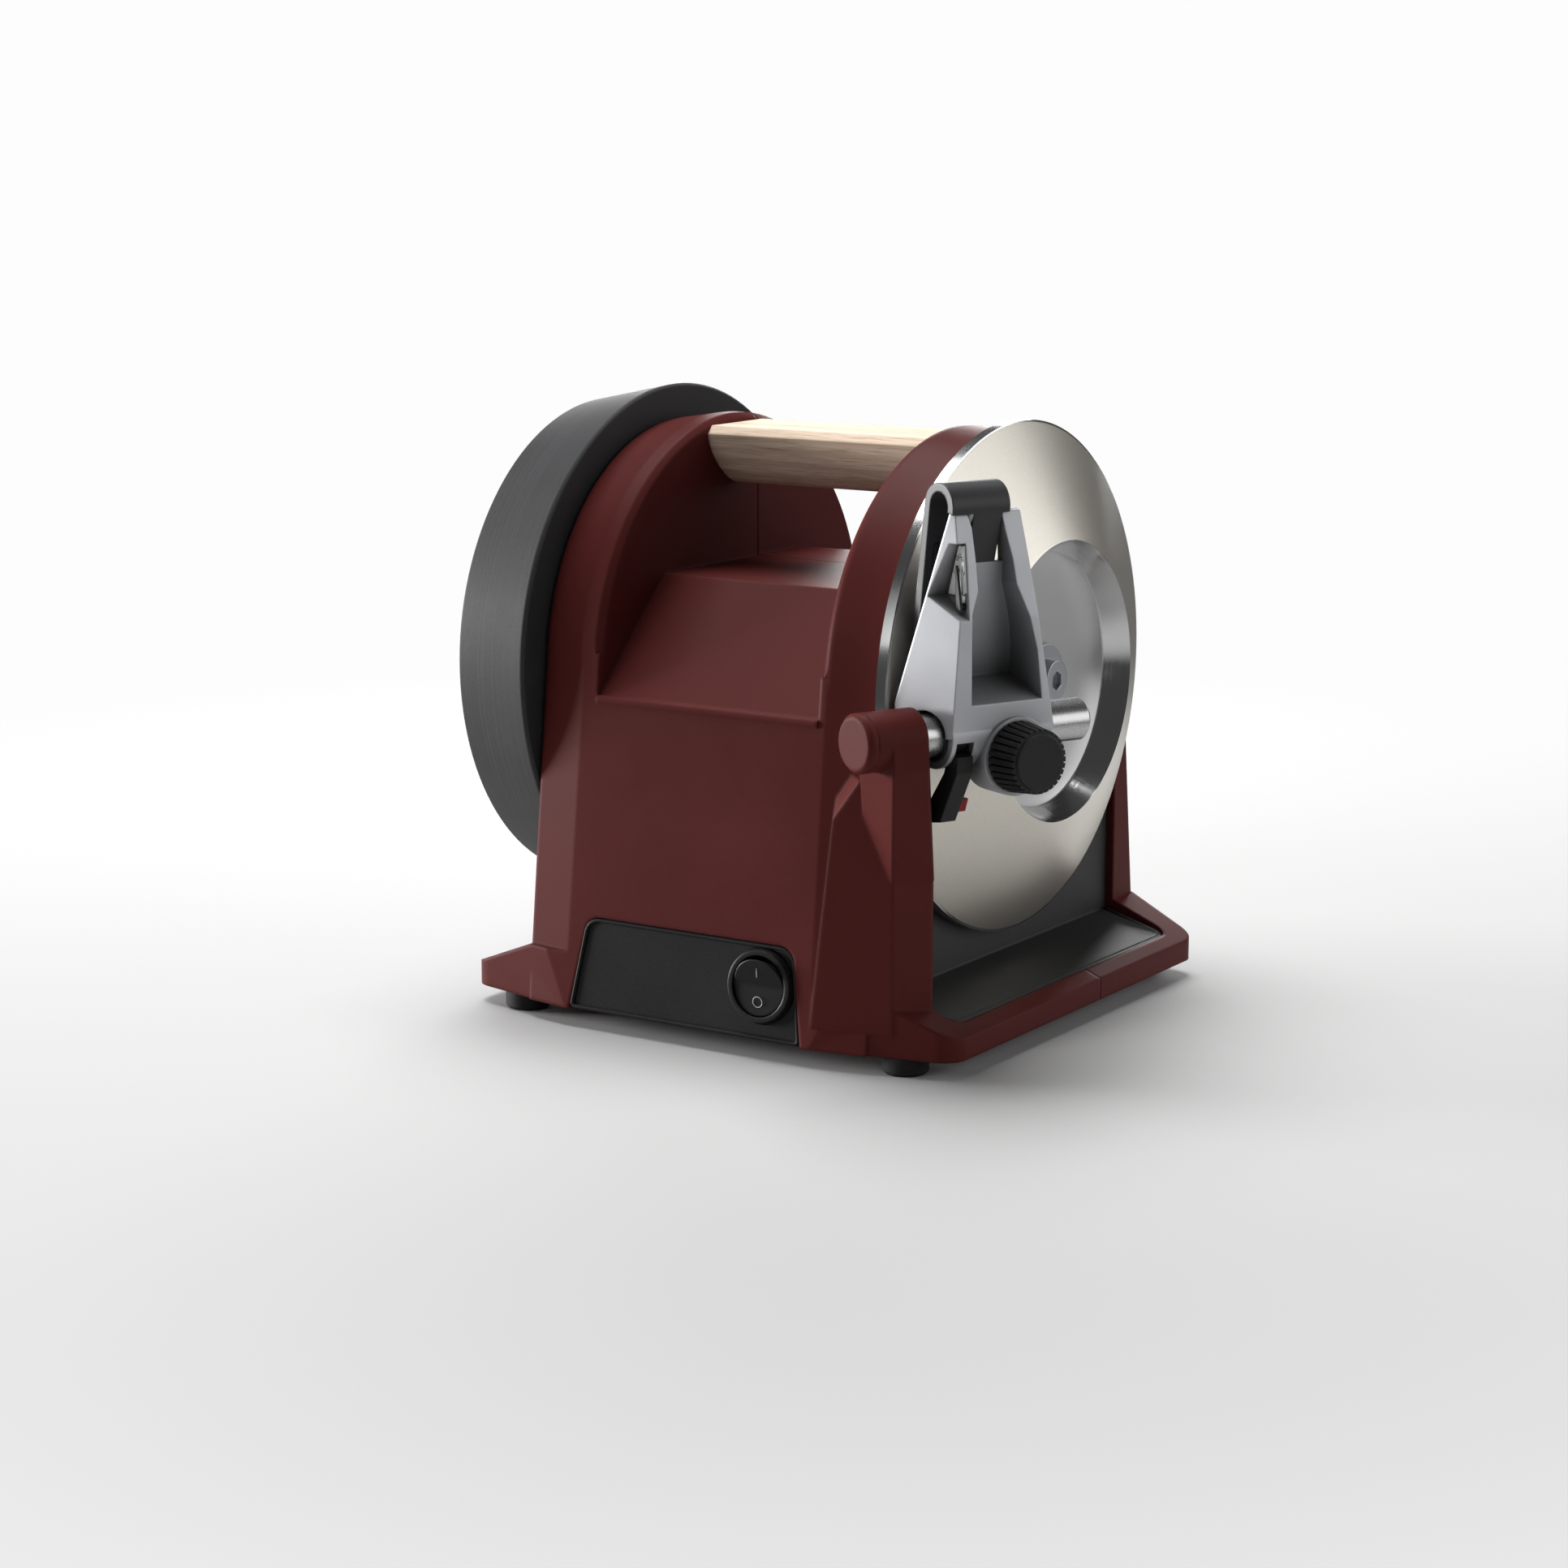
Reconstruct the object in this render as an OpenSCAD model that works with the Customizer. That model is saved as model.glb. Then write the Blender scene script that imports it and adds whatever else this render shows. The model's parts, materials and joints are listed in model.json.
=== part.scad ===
// Two-wheel electric knife sharpener: honing wheel on the left, coned diamond disc on the right.
// X runs along the shaft, the front face looks along -Y, Z is up from the table.

/* [Base] */
// Length of the base along the shaft
base_len = 196.6; // [190:0.1:204]
// Depth of the base in the middle of its long sides
base_depth = 194.2; // [188:0.1:200]
// Depth of the base at its ends
base_end_depth = 172.8; // [168:0.1:178]
// Height of the upright rim of the base
rim_h = 7.5; // [6:0.1:9]
// Visible height of the rubber feet
foot_h = 6.3; // [5:0.1:8]
// Diameter of the rubber feet
foot_d = 15.7; // [13:0.1:18]
// Distance of the feet from the middle, along the shaft
foot_x = 77.3; // [74:0.1:82]
// Distance of the feet from the middle, front to back
foot_y = 82.7; // [81.5:0.1:82.9]

/* [Housing] */
// Height of the shaft above the table
shaft_h = 119; // [117:0.1:122]
// Radius of the round tops of the cheeks
cheek_r = 84.5; // [82.5:0.1:86]
// Length of the flat front face to the left of the middle
face_left = 50.8; // [48:0.1:54]
// Length of the flat front face to the right of the middle
face_right = 48.5; // [46.5:0.1:50]
// Outer side of the left cheek
left_wall = 67.9; // [66.5:0.1:69]
// Inner side of the left cheek
left_inner = 43.8; // [42.5:0.1:45]
// Inner side of the right cheek
right_inner = 45; // [44:0.1:46]
// Outer side of the right cheek
cheek_out = 66; // [65.5:0.1:66.4]
// Outer side of the right columns
right_wall = 68.9; // [68:0.1:70]
// Turn of the side facets of the housing, in degrees
facet_turn = 9; // [7:0.1:11]
// Height of the lip at the foot of the ramp
lip_z = 112.6; // [108:0.1:118]
// Height of the ridge at the top of the ramp
ridge_z = 151.2; // [148:0.1:154]
// Distance of the ridge from the shaft plane
ridge_y = 45.5; // [42:0.1:49]
// Place of the seam between the housings behind the shaft plane
seam_y = 13; // [11:0.1:16]
// Wall thickness of the housings
wall = 3; // [2.5:0.1:3.4]

/* [Wheels] */
// Diameter of the diamond disc
disc_d = 175; // [172:0.1:176]
// Thickness of the rim of the disc
disc_t = 3.5; // [3:0.1:4]
// Front plane of the rim of the disc
disc_x = 71.4; // [71.2:0.1:73]
// Slope of the coned face, in degrees
dish_angle = 24.5; // [23:0.1:26]
// Diameter of the centre recess at the coned face
recess_d = 96; // [92:0.1:100]
// Diameter of the floor of the recess
recess_floor_d = 87; // [82:0.1:90]
// Depth of the recess
recess_depth = 8.7; // [7:0.1:10]
// Larger diameter of the honing wheel, on its inner side
honing_d = 188; // [182:0.1:192]
// Smaller diameter of the honing wheel, on its outer side
honing_outer_d = 174; // [168:0.1:180]
// Width of the honing wheel
honing_w = 33.5; // [30:0.1:36]
// Gap between the honing wheel and the housing
honing_gap = 1.3; // [1:0.1:2.5]
// Diameter of the main shaft
shaft_d = 12; // [10:0.1:13]
// Diameter of the drive wheel without its tyre
drive_d = 132; // [126:0.1:134]
// Thickness of the rubber tyre
tyre_t = 6; // [4:0.1:7]
// Width of the drive wheel
drive_w = 10; // [8:0.1:10.5]
// Diameter of the friction roller
roller_d = 12; // [10:0.1:14]

/* [Motor] */
// Diameter of the motor
motor_d = 60; // [54:0.1:62]
// Length of the stator
stator_len = 40; // [34:0.1:44]
// Diameter of the rotor
rotor_d = 34; // [30:0.1:37]

/* [Handle] */
// Height of the top of the handle above the table
handle_top = 200.3; // [198:0.1:201]
// Width of the handle, front to back
handle_w = 37.4; // [34:0.1:42]
// Height of the handle
handle_h = 21.3; // [18:0.1:24]

/* [Guide bar] */
// Diameter of the guide bar
bar_d = 14; // [13:0.1:14.5]
// Distance from the coned face to the axis of the bar
bar_gap = 13.1; // [12.8:0.1:14]
// Height of the axis of the bar below the shaft
bar_drop = 5.8; // [5:0.1:7]
// Length of the bar beyond the left end of the guide
bar_free = 58.5; // [56.5:0.1:64]
// Outer diameter of the bar holder on the arm
holder_d = 19.4; // [18.5:0.1:20.5]
// Length of the bar holder with its cap
holder_len = 22.2; // [20:0.1:25]

/* [Knife guide] */
// Length of the barrel of the guide
barrel_len = 38.8; // [38:0.1:39.5]
// Outer diameter of the barrel
barrel_d = 22; // [21:0.1:22.6]
// Height of the guide above the bar
guide_h = 77.5; // [75:0.1:80]
// Lean of the knife slot, in degrees
slot_lean = 15; // [13.5:0.1:16]
// Width of the knife slot at its top
slot_w = 9.8; // [9:0.1:10.5]
// Diameter of the angle knob at its root
knob_d = 23.4; // [22.5:0.1:24.6]
// Length of the angle knob
knob_len = 12.2; // [11:0.1:13.5]
// Number of grooves on the angle knob
knob_grooves = 30; // [24:1:36]

/* [Switch] */
// Diameter of the switch bezel
bezel_d = 26; // [25:0.1:27]
// Diameter of the round rocker
rocker_d = 20; // [19:0.1:20.6]
// Height of the centre of the switch above the table
switch_z = 24.7; // [24:0.1:25.4]
// Place of the switch along the shaft
switch_x = 28.6; // [22:0.1:28.8]
// Height of the top of the switch panel
panel_top = 39; // [38.8:0.1:42]

/* [Hidden] */
$fn = 96;

// Overrun of every cut, running fit, open gap and touching gap
cut = 1;
fit = 0.05;
gap = 0.3;
seat = 0.01;
far = 400;

// Places of the base and the housing
base_z = foot_h;
half_len = base_len / 2;
half_depth = base_depth / 2;
half_end = base_end_depth / 2;
rim_top = base_z + rim_h;
skirt_rise = 12;
skirt_top = rim_top + skirt_rise;
corner_r = 9;
corner_turn = atan((half_depth - half_end) / (half_len - face_right));
tangent_reach = sqrt(pow(half_depth, 2) + pow(shaft_h - base_z, 2));
face_lean = atan(half_depth / (shaft_h - base_z)) - asin(cheek_r / tangent_reach);
tangent_y = cheek_r * cos(face_lean);
tangent_z = shaft_h + cheek_r * sin(face_lean);
lip_y = half_depth - (lip_z - base_z) * tan(face_lean);
tread_edge = 2;
lip_d = 3.2;
left_top_r = cheek_r - (left_wall - face_left) * tan(facet_turn);
right_top_r = cheek_r - (cheek_out - face_right) * tan(facet_turn);

// Places on the shaft
disc_r = disc_d / 2;
disc_clear = 2.5;
dish = (disc_d - recess_d) / 2 * tan(dish_angle);
disc_back = disc_x - disc_t;
floor_x = disc_x + dish - recess_depth;
floor_t = 4;
cover_t = 2.4;
cover_x = cheek_out - cover_t;
wheel_clear = 2.5;
drive_x = cover_x - wheel_clear - drive_w;
drive_r = drive_d / 2 + tyre_t;
drive_room_x = drive_x - wheel_clear * 0.6;
honing_in = -left_wall - honing_gap;
honing_out = honing_in - honing_w;
hub_sink = 4;
hub_d = 52;
flange_t = 3.4;
nut_t = 9;
nut_wide = 19;
bearing_d = 32;
bearing_t = 10;
left_bearing_x = -left_wall + wall;
right_bearing_x = right_inner - bearing_t;
collar_d = 24;

// Places of the motor
motor_z = shaft_h - drive_r - roller_d / 2;
stator_x = -17;
winding_len = 8;
shield_t = 3;
shield_len = winding_len + shield_t + cut;
rotor_shaft_d = 8;
fan_len = 8;
fan_x = stator_x - shield_len - fan_len - cut;
fan_d = 50;
fan_blades = 9;

// Inner room of the housings and the plate that closes it from below
panel_depth = 3;
room_inset = wall + panel_depth + gap;
room_left = -left_inner + wall;
room_right = right_inner - wall;
floor_h = 5.5;
plate_t = 2.2;
plate_z = base_z + cut;
plate_top = plate_z + plate_t;
plate_len = 88;
plate_depth = 160;
opening_len = 72;
opening_depth = 144;

// Screws
screw_d = 4;
head_d = 7.5;
head_h = 2.6;
screw_len = 9;
joint_screw_len = 26;
joint_screw_places = [
    [-left_wall + 12, base_z + 24], [-left_wall + 12, shaft_h + 50], [room_right + 12, base_z + 12]
];

// Switch panel on the leaning face, measured along that face
panel_h = (panel_top - base_z) / cos(face_lean);
panel_r = 6;
panel_top_left = 43.8;
panel_top_right = 41.3;
panel_low_left = 49.2;
panel_low_right = 45.3;
panel_sink = 1;
switch_up = (switch_z - base_z) / cos(face_lean);
bezel_rise = 2.6;
switch_depth = 10;
rocker_tilt = 9;
rocker_drop = 5;
rocker_pin_d = 3;
rocker_axle_d = 1.4;
rocker_axle_len = 23;

// Side cover with the tray at its foot
cover_front = 75;
cover_back = 77;
cover_r = 78;
tray_out = 91.8;
tray_z = 23.2;
tray_fall = 7.6;
tray_r = 6;

// Arm, bar holder and guide bar, in the frame of the bar: X away from the disc, Y along the bar
bar_start = 10;
bar_x = disc_x + bar_start * sin(dish_angle) + bar_gap * cos(dish_angle);
bar_y = -disc_r + bar_start * cos(dish_angle) - bar_gap * sin(dish_angle);
bar_z = shaft_h - bar_drop;
holder_r = holder_d / 2;
holder_end = -8.4;
holder_front = holder_end - holder_len;
head_len = 13.5;
cap_t = 3.3;
bar_in = holder_front + cap_t + cut;
arm_front_x = 77.3;
arm_back_x = 83.3;
arm_back_y = 75.8;
arm_mid_z = 84;
arm_top_z = 97;
arm_top_x = 66;
arm_proud = 0.3;
strip_top = 64;
strip_off = 6.8;
strip_front = -11;
strip_back = 5.6;
strip_deep = 14;
slab = 0.5;

// Knife guide, in the frame of the bar
sleeve_wall = 1.2;
sleeve_over = 0.6;
sleeve_r = bar_d / 2 + fit + sleeve_wall;
barrel_r = barrel_d / 2;
rear_low = 9.3;
rear_in = -11.2;
front_in = 10.3;
front_mid = 11.5;
front_top = 7.9;
mid_share = 0.483;
upper_share = 0.717;
back_wall = 2.9;
jaw_low = 0.708 * guide_h;
side_turn = 19.3;
left_draft = 2.75;
right_draft = 10.2;
right_low = 38.8;
side_low = 7.1;
jaw_left = 0.7;
jaw_right = 22.9;
jaw_leg_left = 9.3;
jaw_leg_right = 20.4;
jaw_wall = 2.9;
jaw_z = 0.942 * guide_h;
leg_foot = 16;
leg_knee = 38;
leg_foot_back = -11.3;
leg_knee_back = -12.3;
leg_foot_t = 1.2;
leg_knee_t = 3.5;
plate_face = 5.6;
scale_t = 0.8;
pointer_y = 3.2;
pointer_t = 0.8;
pivot_x = 8.6;
pivot_z = 42;
pivot_d = 2;
pointer_len = 13;
knob_y = 24.6;
knob_z = -7.5;
boss_r = knob_d / 2 + 1.2;
boss_end = 12.1;
knob_taper = 1.3;
knob_pin_d = 6;
knob_pin_len = 4.5;
knob_face = 0.9;
groove_deep = 1.9;
lever_left = 2;
lever_right = 8;
lever_play = 0.35;

// Back of the knife slot at a height above the bar: a line that leans away from the disc
function slot_line(z) = rear_in + (z - rear_low) * tan(slot_lean);
// Middle of the arch over the slot, and a point on the line where the arch rests on the arms
arch_x = slot_line(jaw_z) - slot_w / 2;
function arch_foot(out) = [
    arch_x + out * cos(slot_lean), jaw_z - out * sin(slot_lean) - seat
];

// The part is shifted so that its origin lies on the table, under the middle of its box
box_left = honing_out + hub_sink - flange_t - nut_t;
box_right = bar_x + knob_y * sin(dish_angle) + (boss_end + gap + knob_len) * cos(dish_angle)
    + (knob_d / 2 - knob_taper) * sin(dish_angle);
box_front = bar_y + holder_front * cos(dish_angle) - holder_r * sin(dish_angle) * 0.87;
gland_x = -18;
gland_up = 16;
gland_d = 15;
gland_neck_d = 11;
gland_bore_d = 6.4;
gland_len = 14;
gland_out = 4.5;
box_back = half_depth + gland_out * cos(face_lean)
    - (gland_up - gland_d / 2 + cut) * sin(face_lean);
module machine() {
    translate([-(box_left + box_right) / 2, -(box_front + box_back) / 2, 0]) children();
}

// Prism along X from an outline drawn in Y and Z
module x_prism(x0, x1) {
    translate([x0, 0, 0]) rotate([90, 0, 90]) linear_extrude(height = x1 - x0) children();
}

// Prism along Y from an outline drawn in X and Z
module y_prism(y0, y1) {
    translate([0, y1, 0]) rotate([90, 0, 0]) linear_extrude(height = y1 - y0) children();
}

// Round solid or cone along X, on the shaft axis unless another place is given
module x_round(x0, x1, r0, r1, y = 0, z = shaft_h) {
    translate([x0, y, z]) rotate([0, 90, 0]) cylinder(h = x1 - x0, r1 = r0, r2 = r1);
}

// Round solid along Y
module y_round(y0, y1, r0, r1, x = 0, z = 0) {
    translate([x, y0, z]) rotate([-90, 0, 0]) cylinder(h = y1 - y0, r1 = r0, r2 = r1);
}

// Frame of the guide bar
module at_bar() {
    machine() translate([bar_x, bar_y, bar_z]) rotate([0, 0, -dish_angle]) children();
}

// Frame of the leaning front face: Y goes into the housing, Z up along the face
module at_face() {
    translate([0, -half_depth, base_z]) rotate([-face_lean, 0, 0]) children();
}

// The same frame on the rear face
module at_back() {
    mirror([0, 1, 0]) at_face() children();
}

// Both halves, front and back
module both_ends() {
    children();
    mirror([0, 1, 0]) children();
}

// Outline of the base seen from above, with its four rounded corners
module base_outline(grow = 0) {
    end_x = half_len + grow;
    long_y = half_depth + grow;
    round_x = end_x - corner_r;
    round_y = half_end + grow + corner_r * tan(corner_turn) - corner_r / cos(corner_turn);
    turn_x = round_x + corner_r * sin(corner_turn);
    turn_y = round_y + corner_r * cos(corner_turn);
    both_ends() {
        polygon([
            [-end_x, -cut], [-end_x, round_y], [-turn_x, turn_y], [-face_left, long_y],
            [face_right, long_y], [turn_x, turn_y], [end_x, round_y], [end_x, -cut]
        ]);
        translate([-round_x, round_y]) circle(corner_r);
        translate([round_x, round_y]) circle(corner_r);
    }
}

// Outline of the leaning faces up to the points where they meet the round tops
module face_outline() {
    polygon([
        [-half_depth, base_z], [half_depth, base_z], [tangent_y, tangent_z], [-tangent_y, tangent_z]
    ]);
}

// Outline of the body between the cheeks: leaning faces, two ramps and the flat between them
module ramp_outline(inset = 0) {
    polygon([
        [-half_depth + inset, base_z], [-lip_y + inset, lip_z - inset / 2],
        [-ridge_y + inset / 2, ridge_z - inset], [ridge_y - inset / 2, ridge_z - inset],
        [lip_y - inset, lip_z - inset / 2], [half_depth - inset, base_z]
    ]);
}

// Block that shaves one side facet off the leaning faces
module facet_cut(x, turn) {
    both_ends() translate([x, -half_depth, base_z]) rotate([0, 0, turn]) rotate([-face_lean, 0, 0])
        translate([turn > 0 ? 0 : -far, -far, -cut]) cube([far, far, far]);
}

// Left cheek: round top with a coned outer tread and a chamfered inner edge
module left_cheek() {
    x_round(-left_wall, -face_left, left_top_r, cheek_r);
    x_round(-face_left, -left_inner - tread_edge, cheek_r, cheek_r);
    x_round(-left_inner - tread_edge, -left_inner, cheek_r, cheek_r - tread_edge);
    difference() {
        x_prism(-left_wall, -left_inner) face_outline();
        facet_cut(-face_left, -facet_turn);
    }
}

// Right cheek: the same form, with the room for the drive wheel left for the halves to cut
module right_cheek() {
    x_round(right_inner, right_inner + tread_edge, cheek_r - tread_edge, cheek_r);
    x_round(right_inner + tread_edge, face_right, cheek_r, cheek_r);
    x_round(face_right, cheek_out, cheek_r, right_top_r);
    difference() {
        x_prism(right_inner, right_wall) face_outline();
        facet_cut(face_right, facet_turn);
        disc_space();
    }
}

// Space that the turning disc keeps free
module disc_space() {
    x_round(cheek_out, disc_x + gap, disc_r + disc_clear, disc_r + disc_clear);
    x_round(disc_x + gap, disc_x + gap + dish, disc_r + disc_clear, recess_d / 2 + disc_clear);
}

// Flange around the foot of the housing: upright rim, then a slope up to the side walls
module skirt() {
    intersection() {
        translate([0, 0, base_z]) linear_extrude(height = rim_h + skirt_rise) base_outline();
        y_prism(-half_depth, half_depth) polygon([
            [-half_len, base_z], [half_len, base_z], [half_len, rim_top], [right_wall, skirt_top],
            [-left_wall, skirt_top], [-half_len, rim_top]
        ]);
        x_prism(-half_len, half_len) face_outline();
    }
}

// Points of a level slice through the arm, which stands a little proud of the base
function arm_line(x) = -half_depth - arm_proud + (x - face_right) * tan(corner_turn);
function arm_slice(left_x, right_x) = [
    [left_x, arm_line(left_x)], [right_x, arm_line(arm_front_x)],
    [right_x + arm_back_x - arm_front_x, -arm_back_y], [cheek_out, -arm_back_y],
    [face_right, -arm_back_y]
];
function arm_left(z) = face_right + (z - base_z) * tan(face_lean);
module slice_at(z, points) {
    translate([0, 0, z]) linear_extrude(height = slab) polygon(points);
}

// Arm that carries the guide bar: upright post, neck that leans forward, head and stub
module arm() {
    hull() {
        slice_at(rim_top, arm_slice(arm_left(rim_top), arm_front_x));
        slice_at(strip_top, arm_slice(arm_left(strip_top), arm_front_x));
        slice_at(arm_mid_z - slab, arm_slice(arm_left(arm_mid_z), arm_front_x - strip_off / 2));
        slice_at(arm_top_z, arm_slice(arm_top_x, arm_front_x - strip_off / 2));
    }
    translate([bar_x, bar_y, 0]) rotate([0, 0, -dish_angle]) {
        hull() {
            translate([-strip_off - strip_deep, strip_front, strip_top - slab])
                cube([strip_deep, strip_back - strip_front, slab]);
            translate([-holder_r, holder_end - head_len, bar_z - holder_r])
                cube([holder_d, head_len, holder_r]);
        }
        translate([0, 0, bar_z])
            y_round(holder_front + cap_t, holder_end, holder_r, holder_r);
    }
}

// Whole outer form of the two housings
module housing_form() {
    left_cheek();
    right_cheek();
    x_prism(-left_inner - cut, right_inner + cut) ramp_outline();
    both_ends() x_round(-left_inner, right_inner, lip_d / 2, lip_d / 2, -lip_y + lip_d / 4, lip_z);
    skirt();
    difference() {
        arm();
        disc_space();
    }
}

// Rooms and holes of the two housings
module housing_rooms() {
    difference() {
        x_prism(room_left, room_right) difference() {
            ramp_outline(room_inset);
            translate([-far, 0]) square([far * 2, base_z + floor_h]);
        }
        x_round(right_bearing_x, room_right + cut, bearing_d / 2 + wall, bearing_d / 2 + wall);
    }
    translate([-opening_len / 2, -opening_depth / 2, base_z - cut])
        cube([opening_len, opening_depth, floor_h + cut * 2]);
    translate([-plate_len / 2 - fit, -plate_depth / 2 - fit, base_z - cut])
        cube([plate_len + fit * 2, plate_depth + fit * 2, plate_top - base_z + cut]);
    x_round(drive_room_x, cheek_out + cut, drive_r + wheel_clear, drive_r + wheel_clear);
    x_round(room_right - cut, cheek_out + cut, roller_d / 2 + wheel_clear,
        roller_d / 2 + wheel_clear, 0, motor_z);
    x_round(-left_wall - cut, room_left + cut, collar_d / 2 + gap, collar_d / 2 + gap);
    x_round(room_right - cut, drive_room_x + cut, collar_d / 2 + gap, collar_d / 2 + gap);
    x_round(left_bearing_x, left_bearing_x + bearing_t, bearing_d / 2 + seat, bearing_d / 2 + seat);
    x_round(right_bearing_x - cut, right_inner, bearing_d / 2 + seat, bearing_d / 2 + seat);
    x_prism(cover_x - seat, right_wall + cut) cover_outline(gap);
    tray_block(gap, far / 2);
    for (x = [-foot_x, foot_x]) for (y = [-foot_y, foot_y]) translate([x, y, base_z - cut])
        cylinder(h = foot_stem_h + cut * 2, d = foot_stem_d + seat * 2);
    for (place = joint_screw_places) joint_screw_hole(place);
    for (side = [-1, 1]) handle_screw_hole(side);
    for (x = [-1, 1]) for (y = [-1, 1]) base_screw_hole(x, y);
    at_back() y_round(-cut, gland_len + cut, gland_neck_d / 2 + seat, gland_neck_d / 2 + seat,
        gland_x, gland_up);
}
foot_stem_d = 6;
foot_stem_h = 5;

// Holes for the screws, each from the same values as its screw
module joint_screw_hole(place) {
    y_round(seam_y - joint_screw_len / 2, seam_y + joint_screw_len / 2 + cut,
        screw_d / 2 + seat, screw_d / 2 + seat, place[0], place[1]);
    y_round(seam_y + joint_screw_len / 2, far / 2, head_d / 2 + gap, head_d / 2 + gap,
        place[0], place[1]);
}
module handle_screw_hole(side) {
    x_out = side > 0 ? cheek_out : left_wall;
    x_in = side > 0 ? right_inner : left_inner;
    scale_x = side > 0 ? 0 : 1;
    mirror([scale_x, 0, 0]) {
        x_round(x_in - cut, x_out + cut, screw_d / 2 + seat, screw_d / 2 + seat, 0, handle_z);
        x_round(x_in + handle_grip, x_out + cut, head_d / 2 + gap, head_d / 2 + gap, 0, handle_z);
    }
}
module base_screw_hole(x, y) {
    translate([x * base_screw_x, y * base_screw_y, base_z - cut])
        cylinder(h = screw_len + cut * 2, d = screw_d + seat * 2);
}
base_screw_x = (plate_len + opening_len) / 4;
base_screw_y = (plate_depth + opening_depth) / 4;
handle_z = handle_top - handle_h / 2;
handle_grip = drive_room_x - right_inner - head_h;

module seam_half(front) {
    translate([-far / 2, front ? -far : seam_y + gap / 2, -cut])
        cube([far, front ? far + seam_y - gap / 2 : far, far]);
}

module front_housing() {
    color([0.33, 0.14, 0.14]) machine() intersection() {
        difference() {
            housing_form();
            housing_rooms();
            at_face() panel_block(fit, panel_depth, cut);
            at_face() y_round(0, room_inset + cut, rocker_d / 2 + cut, rocker_d / 2 + cut,
                switch_x, switch_up);
            translate([bar_x, bar_y, bar_z]) rotate([0, 0, -dish_angle])
                y_round(bar_in, holder_end + cut * 4, bar_d / 2 + seat, bar_d / 2 + seat);
        }
        seam_half(true);
    }
}

module rear_housing() {
    color([0.33, 0.14, 0.14]) machine() intersection() {
        difference() {
            housing_form();
            housing_rooms();
        }
        seam_half(false);
    }
}

// Side cover: wall behind the disc and the tray at its foot
module cover_outline(grow = 0) {
    translate([0, shaft_h]) circle(cover_r + grow);
    translate([-cover_front - grow, tray_z - tray_r])
        square([cover_front + cover_back + grow * 2, shaft_h - tray_z]);
}
module tray_plan(grow = 0) {
    out = tray_out + grow;
    translate([cover_x, -cover_front - grow])
        square([out - cover_x - tray_r, cover_front + cover_back + grow * 2]);
    translate([cover_x, -cover_front - grow + tray_r])
        square([out - cover_x, cover_front + cover_back + grow * 2 - tray_r * 2]);
    translate([out - tray_r, -cover_front - grow + tray_r]) circle(tray_r);
    translate([out - tray_r, cover_back + grow - tray_r]) circle(tray_r);
}
module tray_block(grow, rise) {
    intersection() {
        linear_extrude(height = shaft_h) tray_plan(grow);
        y_prism(-cover_front - cut, cover_back + cut) polygon([
            [cover_x, tray_z - cover_t], [tray_out + cut, tray_z - tray_fall - cover_t],
            [tray_out + cut, tray_z - tray_fall + rise], [cover_x, tray_z + rise]
        ]);
    }
}
module side_cover() {
    color([0.2, 0.2, 0.2]) machine() difference() {
        union() {
            x_prism(cover_x, cheek_out) cover_outline();
            tray_block(0, 0);
        }
        x_round(cover_x - cut, cheek_out + cut, collar_d / 2 + gap, collar_d / 2 + gap);
    }
}

// Switch panel on the front face
module panel_outline(grow = 0) {
    top = panel_h + grow;
    polygon([
        [-panel_low_left - grow, 0], [panel_low_right + grow, 0],
        [panel_top_right + grow, top - panel_r], [panel_top_right + grow - panel_r, top],
        [-panel_top_left - grow + panel_r, top], [-panel_top_left - grow, top - panel_r]
    ]);
    translate([panel_top_right + grow - panel_r, top - panel_r]) circle(panel_r);
    translate([-panel_top_left - grow + panel_r, top - panel_r]) circle(panel_r);
}
module panel_block(grow, depth, front) {
    y_prism(-front, depth) panel_outline(grow);
}
module switch_panel() {
    color([0.16, 0.16, 0.17]) machine() at_face() difference() {
        y_prism(panel_sink, panel_depth - seat) translate([0, cut / 4]) panel_outline(-cut / 4);
        y_round(0, panel_depth + cut, rocker_d / 2 + cut, rocker_d / 2 + cut,
            switch_x, switch_up);
    }
}
module switch_bezel() {
    color([0.1, 0.1, 0.1]) machine() at_face() difference() {
        union() {
            y_round(panel_sink - bezel_rise, panel_sink - seat, bezel_d / 2 - cut, bezel_d / 2,
                switch_x, switch_up);
            y_round(panel_sink - cut, room_inset, rocker_d / 2 + cut - fit,
                rocker_d / 2 + cut - fit, switch_x, switch_up);
        }
        y_round(-bezel_rise - cut, room_inset + cut, rocker_d / 2 + gap, rocker_d / 2 + gap,
            switch_x, switch_up);
        x_round(switch_x - rocker_axle_len / 2 - gap, switch_x + rocker_axle_len / 2 + gap,
            rocker_axle_d / 2 + fit, rocker_axle_d / 2 + fit, 0, switch_up);
    }
}
module switch_body() {
    color([0.1, 0.1, 0.1]) machine() at_face() {
        y_round(room_inset + seat, room_inset + switch_depth, rocker_d / 2 + cut,
            rocker_d / 2 + cut, switch_x, switch_up);
        for (side = [-1, 1]) translate([switch_x + side * rocker_d / 4 - cut / 2,
            room_inset + switch_depth, switch_up - rocker_pin_d]) cube([cut, switch_len, rocker_pin_d * 2]);
    }
}
switch_len = 6;

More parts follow.
